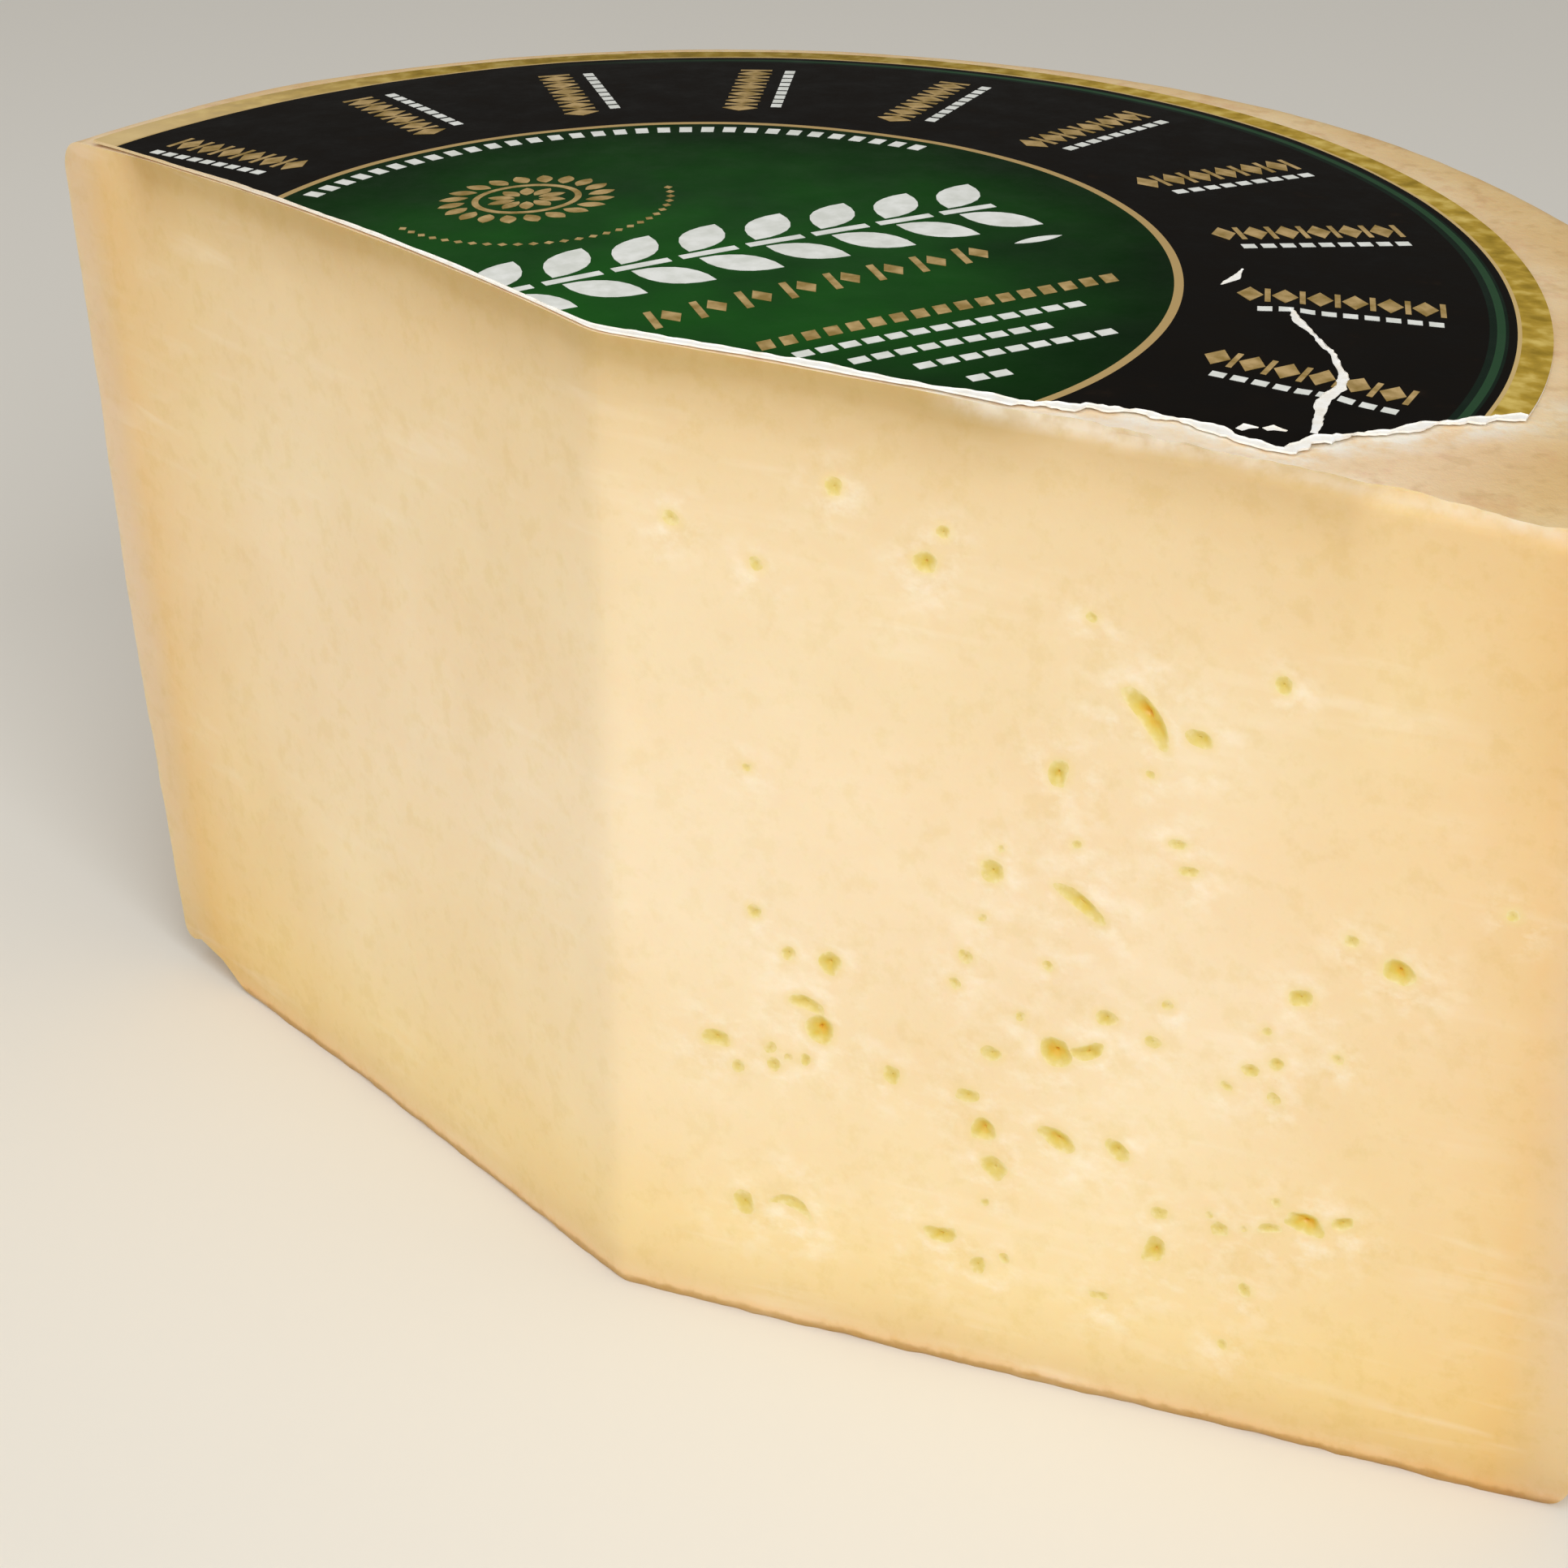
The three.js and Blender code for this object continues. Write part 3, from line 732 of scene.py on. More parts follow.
# %% Places of the eyes
# Distance from the ridge, height, length, width, turn in degrees, bow, and depth; all but the turn are in mm
EYES = [
    (55.4, 78.5, 6.6, 1.5, -51, 0.5, 0.95), (60.4, 77.3, 2.4, 1.3, -15, 0.1, 0.5),
    (67.9, 84.2, 1.5, 1.4, 0, 0.0, 0.4), (47.1, 71.0, 2.6, 1.5, 80, 0.2, 0.6),
    (49.7, 57.6, 5.6, 1.2, -35, 0.3, 0.5), (40.7, 59.1, 2.2, 1.9, 0, 0.0, 0.55),
    (22.8, 37.0, 3.0, 2.1, 80, 0.2, 1.0), (21.3, 39.6, 3.6, 1.1, -10, 0.3, 0.5),
    (23.9, 44.9, 2.3, 2.0, 60, 0.1, 0.65), (11.4, 33.2, 2.9, 1.5, 8, 0.2, 0.5),
    (13.8, 30.5, 1.3, 1.2, 0, 0.0, 0.3), (17.8, 31.6, 1.4, 1.3, 0, 0.0, 0.35),
    (21.2, 33.0, 1.3, 0.8, 80, 0.0, 0.3), (47.5, 40.5, 3.0, 2.6, 10, 0.0, 1.15),
    (50.6, 41.3, 3.4, 1.2, 28, -0.4, 0.7), (52.5, 45.5, 2.0, 1.4, 20, 0.0, 0.5),
    (80.2, 57.2, 2.8, 1.9, -8, 0.2, 0.95), (71.2, 52.3, 2.1, 1.4, 10, 0.0, 0.5),
    (66.8, 43.2, 1.7, 1.0, 10, 0.0, 0.35), (69.3, 44.5, 1.5, 1.0, 30, 0.0, 0.35),
    (40.2, 29.5, 2.3, 1.8, 10, 0.2, 0.85), (47.8, 30.3, 3.7, 1.6, -25, 0.1, 0.75),
    (54.0, 30.6, 2.5, 1.4, -45, 0.0, 0.55), (73.0, 27.0, 3.5, 1.7, -12, 0.2, 1.0),
    (76.6, 28.0, 2.1, 1.0, 25, 0.0, 0.55), (69.5, 25.5, 2.4, 0.8, 15, 0.1, 0.3),
    (35.9, 15.8, 3.3, 1.4, 8, -0.2, 0.65), (39.8, 13.0, 1.7, 1.6, 0, 0.0, 0.35),
    (14.3, 14.0, 2.7, 1.7, 95, 0.1, 0.45), (19.6, 15.0, 4.6, 1.1, -14, 1.1, 0.35),
    (58.1, 19.8, 3.0, 1.6, 75, -0.2, 0.65), (58.5, 24.3, 1.7, 1.2, 0, 0.0, 0.25),
    (64.6, 24.0, 1.7, 1.3, 0, 0.0, 0.28), (41.4, 25.2, 2.8, 1.9, -60, 0.1, 0.5),
    (38.5, 33.1, 2.5, 1.2, 5, 0.0, 0.42), (40.9, 38.6, 2.0, 1.2, 0, 0.1, 0.4),
    (30.5, 33.5, 1.8, 1.6, 0, 0.0, 0.42), (19.4, 45.0, 1.4, 1.2, 0, 0.0, 0.35),
    (15.8, 48.9, 1.4, 1.2, 0, 0.0, 0.33), (38.1, 49.0, 1.4, 1.3, 0, 0.0, 0.3),
    (58.8, 66.0, 1.8, 0.8, 5, 0.0, 0.25), (60.0, 63.4, 1.9, 0.8, 5, 0.0, 0.27),
    (33.5, 89.8, 2.3, 1.5, 0, 0.1, 0.65), (35.2, 93.1, 1.2, 1.0, 0, 0.0, 0.35),
    (24.3, 95.7, 1.7, 1.5, 0, 0.0, 0.3), (67.4, 17.5, 1.6, 1.0, 90, 0.0, 0.35),
    (52.7, 12.7, 2.1, 0.8, 5, 0.0, 0.22), (75.6, 59.5, 1.3, 1.0, 0, 0.0, 0.27),
]
SPECKS = 26
NEAR_AN_EYE = 0.6        # share of the specks that lie near a larger eye
SPECK_DEPTH = 0.22       # share of a speck's size
draw = random.Random(41)


def strewn_specks():
    """Rows for the small specks: most lie within a few mm of a larger eye, the rest anywhere."""
    rows = []
    while len(rows) < SPECKS:
        if draw.random() < NEAR_AN_EYE:
            eye = draw.choice(EYES)
            along, up = eye[0] + draw.gauss(0, 6.5), eye[1] + draw.gauss(0, 4.5)
        else:
            along, up = draw.uniform(6, 90), draw.uniform(8, 94)
        size = draw.uniform(0.6, 1.1)
        clear = all(math.hypot(along - eye[0], up - eye[1]) > 0.6 * max(eye[2], eye[3]) + size
                    for eye in EYES + rows)
        if clear and 4 < along < 92 and 4 < up < 96:
            long, turn = size * draw.uniform(1.0, 1.6), draw.uniform(-50, 50)
            rows.append((along, up, long, size, turn, 0.0, SPECK_DEPTH * size))
    return rows


specks = strewn_specks()
print("larger eyes:", len(EYES), "specks:", len(specks))

# %% [markdown]
# Each eye is cut by a closed bowl over a bent oval. A squashed ball would leave a crisp edge like a drilled
# hole, so the bowl has a bell's profile, and its rim flows into the cut. The bowls follow the cut's own
# relief. A mesh that crosses itself can't be a Boolean's tool, and some eyes nearly touch, so the larger ones
# go in three rounds.

# %% Sink the eyes
BLUNTNESS = 0.85      # below 1, the ends of an oval are blunter than an ellipse's
EYE_SHALLOWER = 0.62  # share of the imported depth; at all of it the bell's narrow floor would be too dark
EYE_LONGER, EYE_WIDER = 1.06, 1.28   # the blunt rim takes a little from the size that a bowl shows
RIM_AT = 0.8          # share of the bowl's reach at which its wall comes up through the cut
BOWL_RINGS = 9
BOWL_SPOKES = 26
BOWL_WOBBLE, FLOOR_WOBBLE = 0.13, 0.25   # shares by which noise changes the outline and the floor


def bowl(long, wide, bow, deep, seed):
    """Points and faces of one closed bowl, as (along, up, out), with its middle at the origin."""
    share = np.linspace(0, 1, BOWL_RINGS + 1)[1:, None]
    turn = np.linspace(0, 2 * math.pi, BOWL_SPOKES, endpoint=False)[None, :]
    c, s = np.cos(turn), np.sin(turn)
    wobble = 1 + BOWL_WOBBLE * lumps(np.stack([c, s, 0 * c], axis=-1), 0.9, seed)
    reach = share * wobble / RIM_AT / 2
    along = reach * long * EYE_LONGER * np.sign(c) * np.abs(c) ** BLUNTNESS
    up = reach * wide * EYE_WIDER * np.sign(s) * np.abs(s) ** BLUNTNESS
    up = up + bow * (0.5 - (2 * along / long) ** 2)
    floor_lumps = 1 + FLOOR_WOBBLE * lumps(np.stack([along, up, 0 * up], axis=-1), 0.8, seed + 2)
    out = -EYE_SHALLOWER * deep * (1 - ease(share)) * floor_lumps + 0.03 * wide * share ** 3
    ring = np.stack([along, up, out], axis=-1).reshape(-1, 3)
    points = np.concatenate([[[0.0, 0.5 * bow, -deep]], ring, [[0.0, 0.5 * bow, deep + 0.5]]])
    faces, last = [], len(points) - 1
    for j in range(BOWL_SPOKES):
        k = (j + 1) % BOWL_SPOKES
        outer = 1 + (BOWL_RINGS - 1) * BOWL_SPOKES
        faces += [(0, 1 + k, 1 + j), (last, outer + j, outer + k)]
        for i in range(BOWL_RINGS - 1):
            a, b = 1 + i * BOWL_SPOKES, 1 + (i + 1) * BOWL_SPOKES
            faces.append((a + j, a + k, b + k, b + j))
    return points, faces


def eye_tools(rows, seed):
    """One mesh of bowls at the places of those eyes."""
    all_points, all_faces, count = [], [], 0
    for index, (along, up, long, wide, turn, bow, deep) in enumerate(rows):
        points, faces = bowl(long, wide, bow, deep, seed + 1.7 * index)
        a = math.radians(turn)
        s = -(along + points[:, 0] * math.cos(a) - points[:, 1] * math.sin(a))
        w = (up + points[:, 0] * math.sin(a) + points[:, 1] * math.cos(a)) / HEIGHT
        all_points.append(cut_point(s, w, cut_level(s, w) + points[:, 2]))
        all_faces += [[count + i for i in f] for f in faces]
        count += len(points)
    return piece_from("eyes", np.concatenate(all_points), all_faces, EYE_WALL)


cut(cheese, eye_tools(EYES[0::3], seed=3.3))
cut(cheese, eye_tools(EYES[1::3], seed=8.8))
cut(cheese, eye_tools(EYES[2::3], seed=6.2))
cut(cheese, eye_tools(specks, seed=5.1))
print("after the eyes:", len(cheese.data.polygons), "faces,", [m.name for m in cheese.data.materials])

# %% [markdown]
# The knife's two faces and the rind are one mesh now. What the materials need to know is written on its
# points. Three depths give the paste its tints: below the wall, below the top, and above the base. Other
# values say how far a point of the right face is from the nearest eye and from that eye's rim, how deep it
# lies in an eye, how far a point of the bare top is from the torn edge of the label, how much an edge is
# whitened or pressed pale, and what lies outside the label's border. An attribute moves with the mesh, and it
# needs no unwrapping, as a picture would.

# %% Helpers for attributes
def line_distance(x, y, line):
    """Distance of each point from the line through those corners."""
    best = np.full(np.shape(x), FAR)
    for (ax, ay), (bx, by) in zip(line[:-1], line[1:]):
        dx, dy = bx - ax, by - ay
        t = np.clip(((x - ax) * dx + (y - ay) * dy) / (dx * dx + dy * dy), 0, 1)
        best = np.minimum(best, np.hypot(x - ax - t * dx, y - ay - t * dy))
    return best


def put_values(piece, name, values):
    """Writes one value on each point, as an attribute of that name."""
    layer = piece.data.attributes.new(name, "FLOAT", "POINT")
    layer.data.foreach_set("value", np.asarray(values, np.float32))


def points_of(piece):
    """The piece's points in millimetres."""
    flat = np.empty(len(piece.data.vertices) * 3)
    piece.data.vertices.foreach_get("co", flat)
    return flat.reshape(-1, 3) / MM


def on_right_face(points):
    """Distance from the ridge and distance in front of the right face, for each point."""
    w = points[:, 2] / HEIGHT
    ridge = between(RIDGE, w)
    to_right = between(RIGHT_END, w) - ridge
    to_right /= np.hypot(to_right[:, 0], to_right[:, 1])[:, None]
    x, y = (points[:, :2] - ridge).T
    return x * to_right[:, 0] + y * to_right[:, 1], x * to_right[:, 1] - y * to_right[:, 0]


print("points that get values:", len(cheese.data.vertices))

# %% Depths for the paste
BARE_RIM_PALER = 11.0   # mm: past its border the label's painted shade and the darker tan below the top are missing
TORN_TOP_PALER = 2.4    # mm, and only the painted shade of the label's edge where it was torn away


def write_depths(piece):
    """Depths below the wall and the top and above the base, in mm."""
    points = points_of(piece)
    x, y, z = points.T
    t = z / HEIGHT
    upright_x, upright_y = x - mix(FOOT_SHIFT[0], TOP_SHIFT[0], t), y - mix(FOOT_SHIFT[1], TOP_SHIFT[1], t)
    angle = np.degrees(np.arctan2(upright_y, upright_x))
    tuck = mix(0, TUCK["rim"], t) * ease(1 - np.abs(angle - TUCK["angle"]) / TUCK["spread"])
    put_values(piece, "from_wall", wall_radius(z) - tuck - np.hypot(upright_x, upright_y))
    past_border, past_tear = bare_top(x, y)
    # past the label, and where it was torn away, the depth skips the painted shade of the label's edge
    paler = np.maximum(BARE_RIM_PALER * past_border, TORN_TOP_PALER * past_tear)
    put_values(piece, "from_top", top_height(x, y) - z + paler)
    put_values(piece, "from_base", z)


write_depths(cheese)
print("the base's middle lies", round(float(top_height(0.0, 0.0)), 1), "mm below the top")

# %% Distances from the eyes
SMEAR_BELOW = 0.8      # mm by which the smear round an eye hangs below its middle
FULL_SMEAR = 3.0       # mm: eyes as long as this have a full smear
SMALL_SMEAR = 2.4      # how many times faster the smear of the smallest fades
NEAR = 6               # mm from an eye within which the distance from its rim is worked out


def rim_distance(piece, points, nearest):
    """Distance from the closest point of an eye's wall, for points that lie near an eye."""
    slots = [m.name for m in piece.data.materials]
    wall_faces = [f for f in piece.data.polygons if slots[f.material_index] == EYE_WALL.name]
    walls = {v for f in wall_faces for v in f.vertices}
    tree = KDTree(len(walls))
    for v in walls:
        tree.insert(points[v], v)
    tree.balance()
    return [tree.find(p)[2] if near < NEAR else FAR for p, near in zip(points, nearest)]


def write_eyes(piece):
    """Distances from the nearest eye and from its rim, and depth in an eye, in mm."""
    points = points_of(piece)
    z = points[:, 2]
    along, out = on_right_face(points)
    nearest = np.full(len(points), FAR)
    for eye in EYES + specks:
        reach = np.hypot(along - eye[0], z - eye[1] + SMEAR_BELOW) - 0.35 * eye[2]
        nearest = np.minimum(nearest, reach * mix(SMALL_SMEAR, 1.0, min(1.0, eye[2] / FULL_SMEAR)))
    put_values(piece, "from_eye", nearest)
    put_values(piece, "from_rim", rim_distance(piece, points, nearest))
    put_values(piece, "eye_depth", np.clip(cut_level(-along, z / HEIGHT) - out, 0, FAR))


write_eyes(cheese)
print("eyes with a full smear:", sum(eye[2] >= FULL_SMEAR for eye in EYES))

# %% Edges, pressed paste and handled rind
WHITE_FROM, WHITE_UNTIL = 32.0, 50.0   # mm from the ridge: where the torn label left its fibres on the edge
WHITE_REACH, BARE_REACH = 1.8, 1.2     # mm down the face
WHITE_MOST, BARE_MOST = 0.62, 0.5      # share of white at the edge itself
# The pale strip beside the ridge, in mm, and its share of pale
RIDGE_PALER = {"along": 10.0, "reach": 24.0, "low": 12.0, "high": 96.0, "share": 0.18}
LEFT_CLEANER = 0.45                    # share of the handled look that the rind has at its left end


def whitened_edge(along, to_edge):
    """How much the cut's top edge is whitened: broadly under the torn label, and less on the bare rind."""
    past_tear = ease((along - WHITE_UNTIL) / 10)
    reach = mix(WHITE_REACH, BARE_REACH, past_tear)
    most = mix(WHITE_MOST, BARE_MOST, past_tear)
    return most * ease((along - WHITE_FROM) / 8) * np.clip(1.15 - to_edge / reach, 0, 1)


def write_edges(piece):
    """Distance from the tear in mm, and shares of white edge, of pressed paste and of handled rind."""
    points = points_of(piece)
    x, y, z = points.T
    along, out = on_right_face(points)
    put_values(piece, "from_tear", np.where(z > HEIGHT - 2, line_distance(x, y, TEAR), FAR))
    under_top = top_height(x, y) - z
    put_values(piece, "whitened_edge", whitened_edge(along, np.maximum(np.abs(out), under_top)))
    pressed = RIDGE_PALER["share"] * ease(1 - np.abs(along - RIDGE_PALER["along"]) / RIDGE_PALER["reach"])
    pressed = pressed * ease((z - RIDGE_PALER["low"]) / 14) * ease((RIDGE_PALER["high"] - z) / 16)
    put_values(piece, "beside_ridge", pressed)
    border = np.hypot(x - LABEL_CENTRE[0], y - LABEL_CENTRE[1]) - LABEL_RADIUS
    handled = np.maximum(ease((border + 5) / 12), ease((HEIGHT - 2 - z) / 8))
    put_values(piece, "past_label", mix(1.0, LEFT_CLEANER, ease((-x - 45) / 15)) * handled)


write_edges(cheese)
print("written:", [a.name for a in cheese.data.attributes if a.data_type == "FLOAT"])

# %% [markdown]
# The mesh is shaded smooth, as it is fine enough that its facets shouldn't show. Only edges that bend sharply
# stay crisp, such as the one between a cut and the rind.

# %% Smooth shading
def smooth_shade(piece, sharp_degrees):
    """Shades the mesh smooth, but for edges that bend by more than that."""
    piece.data.polygons.foreach_set("use_smooth", [True] * len(piece.data.polygons))
    piece.data.set_sharp_from_angle(angle=math.radians(sharp_degrees))


smooth_shade(cheese, 38)
print("shaded", cheese.name)

# %% [markdown]
# ## The label
#
# The label is a paper disc glued off centre on the domed top. Print sits on a white core, which shows
# wherever the paper is cut or torn, so there are two plies: a white one, and over it a thin printed one that
# ends a little further back. Both are draped over the dome by one function, with slow ripples, and they curl
# up a little at the tear and along a crack. A cloth simulation could drape them too, but glued paper only
# follows what it lies on.

# %% Drape of the label
RING_LINE = (47.4, 48.3)   # radii of the thin gold line round the green disc
BLACK_RADIUS = 79.6        # where the black ring ends and the gold border starts
GLUE_GAP = 0.03
CORE_THICKNESS = 0.2
PRINT_THICKNESS = 0.12
LABEL_RIPPLES = ((0.05, 22, 4.4), (0.02, 8, 6.1))   # height and size in mm, and the noise's seed
TEAR_CURL = {"lift": 0.12, "reach": 3.5}
CRACK_CREASE = {"lift": 0.22, "reach": 1.6}
# Where print has flaked off: lines of x and y in mm, and the width of the bare paper at each corner
CRACK = [(57.3, -3.4), (57.8, -7.1), (59.0, -11), (59.9, -15.5), (60.1, -19.7), (59.4, -22.8),
         (57.4, -25.9), (55.6, -33.2)]
CRACK_WIDTH = [0.2, 1.0, 0.5, 0.8, 0.75, 1.1, 1.2, 0.75]
SCRATCH = [(51.6, 2.9), (53.2, 4.9), (54.3, 7.6)]
SCRATCH_WIDTH = [0.2, 0.9, 0.3]
FLAKES = [[(49.2, -32.4), (49.9, -31.6), (51.0, -31.9)], [(51.5, -32.2), (52.3, -31.7), (53.4, -32.5)]]
FLAKE_WIDTH = [0.7, 1.1, 0.3]
LEFT_TIP = (-61.5, 56.0)   # where the black ends in a point at the left
LEFT_TIP_AT = 84.0         # the same place as a distance from the ridge


def drape(x, y):
    """Height of the underside of the label."""
    points = np.stack([x, y, 0 * x], axis=-1)
    ripple = sum(height * (1 + lumps(points, size, seed)) for height, size, seed in LABEL_RIPPLES)
    curl = TEAR_CURL["lift"] * np.exp(-line_distance(x, y, TEAR) / TEAR_CURL["reach"])
    curl = curl * (0.8 + 0.4 * lumps(points, 7, 9.2))
    crease = CRACK_CREASE["lift"] * np.exp(-(line_distance(x, y, CRACK) / CRACK_CREASE["reach"]) ** 2)
    return top_height(x, y) + GLUE_GAP + ripple + curl + crease


def disc_ply(name, low, high, radius, material, rings=52, steps=300):
    """A closed thin disc between two heights above the drape."""
    turn = np.linspace(0, 2 * math.pi, steps, endpoint=False)
    out = np.linspace(0, radius, rings + 1)[1:]
    x = LABEL_CENTRE[0] + np.outer(out, np.cos(turn))
    y = LABEL_CENTRE[1] + np.outer(out, np.sin(turn))
    z = drape(x, y)
    middle = float(drape(np.array([LABEL_CENTRE[0]]), np.array([LABEL_CENTRE[1]]))[0])
    points, faces = [], []
    for level, flip in ((high, False), (low, True)):
        start = len(points)
        points.append((*LABEL_CENTRE, middle + level))
        points += list(np.stack([x, y, z + level], axis=-1).reshape(-1, 3))
        for j in range(steps):
            k = (j + 1) % steps
            new = [(start, start + 1 + j, start + 1 + k)]
            for i in range(rings - 1):
                a, b = start + 1 + i * steps, start + 1 + (i + 1) * steps
                new.append((a + j, b + j, b + k, a + k))
            faces += [f[::-1] for f in new] if flip else new
    rim_top, rim_low = 1 + (rings - 1) * steps, 2 + rings * steps + (rings - 1) * steps
    for j in range(steps):
        k = (j + 1) % steps
        faces.append((rim_top + j, rim_low + j, rim_low + k, rim_top + k))
    return piece_from(name, points, faces, material)


print("label reaches", round(LABEL_RADIUS / TOP_RADIUS, 3), "of the rim radius")

# %% [markdown]
# ### Printed paper and its white core
#
# The print is coated paper with a low, even gloss. Its fields are rings about the label's middle: a dark
# green disc, a thin gold line, a black ring with a dark green hairline near its edge, and a dull gold border
# with streaks. They could be a picture laid over the disc. Here they are worked out from the distance to the
# middle, so their edges stay as crisp as real print at any size of render. Near the left tip the gold is
# rubbed pale, and the hairline has worn off.

# %% Places on the label
def label_radius(t, place):
    """The place seen from the label's middle, and its distance in mm, as sockets."""
    centre = (LABEL_CENTRE[0] * MM, LABEL_CENTRE[1] * MM, 0.0)
    moved = add(t, "ShaderNodeVectorMath", {0: place, 1: centre}, operation="SUBTRACT").outputs[0]
    flat = add(t, "ShaderNodeVectorMath", {0: moved, 1: (1 / MM, 1 / MM, 0.0)},
               operation="MULTIPLY").outputs[0]
    return moved, add(t, "ShaderNodeVectorMath", {0: flat}, operation="LENGTH").outputs["Value"]


def tip_distance(t, place):
    """Distance from the label's left tip in metres, as a socket."""
    flat = add(t, "ShaderNodeVectorMath", {0: place, 1: (1.0, 1.0, 0.0)}, operation="MULTIPLY").outputs[0]
    tip = (LEFT_TIP[0] * MM, LEFT_TIP[1] * MM, 0.0)
    return add(t, "ShaderNodeVectorMath", {0: flat, 1: tip}, operation="DISTANCE").outputs["Value"]


print("black ring from", RING_LINE[1], "to", BLACK_RADIUS, "mm")

# %% Green field and gold border
FIELD_SPAN = 100.0   # mm that the green's ramp spans
STREAKS = 60.0       # lumps of noise to each radian, where the ink was wiped while wet


def green_field(t, place, radius):
    """Dark green, a little uneven where the paper was glued over lumps, and darker towards its edge."""
    cloud = add(t, "ShaderNodeTexNoise", {"Vector": place, "Scale": per_metre(18), "Detail": 3.0})
    green = add(t, "ShaderNodeValToRGB", {"Fac": cloud.outputs["Fac"]},
                stops=[(0.3, "#153c16"), (0.7, "#1a5518")])
    share = add(t, "ShaderNodeMath", {0: radius, 1: 1 / FIELD_SPAN}, operation="MULTIPLY").outputs[0]
    darker = add(t, "ShaderNodeValToRGB", {"Fac": share},
                 stops=[(0.2, "#ffffff"), (0.35, "#c6c8c6"), (0.46, "#8a908a")])
    return add(t, "ShaderNodeMix", {0: 1.0, 6: green.outputs[0], 7: darker.outputs[0]},
               data_type="RGBA", blend_type="MULTIPLY").outputs[2]


def gold_border(t, moved, to_tip):
    """Dull gold with streaks across it, rubbed pale near the left tip, and with painted cool shade at the far
    side.
    """
    spoke = add(t, "ShaderNodeVectorMath", {0: moved}, operation="NORMALIZE").outputs[0]
    streak_noise = add(t, "ShaderNodeTexNoise", {"Vector": spoke, "Scale": STREAKS, "Detail": 3.0})
    gold = add(t, "ShaderNodeValToRGB", {"Fac": streak_noise.outputs["Fac"]},
               stops=[(0.3, "#957a26"), (0.5, "#b69638"), (0.72, "#dabf68")])
    rubbed = add(t, "ShaderNodeMapRange", {0: to_tip, 1: 40 * MM, 2: 3 * MM, 4: 0.85}).outputs[0]
    gold = add(t, "ShaderNodeMix", {0: rubbed, 6: gold.outputs[0], 7: linear("#e4c893")},
               data_type="RGBA").outputs[2]
    # painted shade: the border's far side is made darker and cooler
    far_side_shade = add(t, "ShaderNodeSeparateXYZ", {0: moved}).outputs["Y"]
    far_side_shade = add(t, "ShaderNodeMapRange", {0: far_side_shade, 1: 66 * MM, 2: 80 * MM}).outputs[0]
    return add(t, "ShaderNodeMix", {0: far_side_shade, 6: gold, 7: linear("#dcdce6")},
               data_type="RGBA", blend_type="MULTIPLY").outputs[2]


print("the streaks of the gold are about", round(LABEL_RADIUS / STREAKS, 1), "mm apart")

# %% [markdown]
# A field starts where the radius passes a value: a Greater Than node gives 0 or 1 there, and a Mix node takes
# the next colour. A Compare node is 1 only close to a value, which makes a hairline.

# %% Printed paper
HAIRLINES = ((77.9, 0.9, "#15231a"), (78.1, 0.4, "#2a4830"))   # radius and half width in mm, and colour


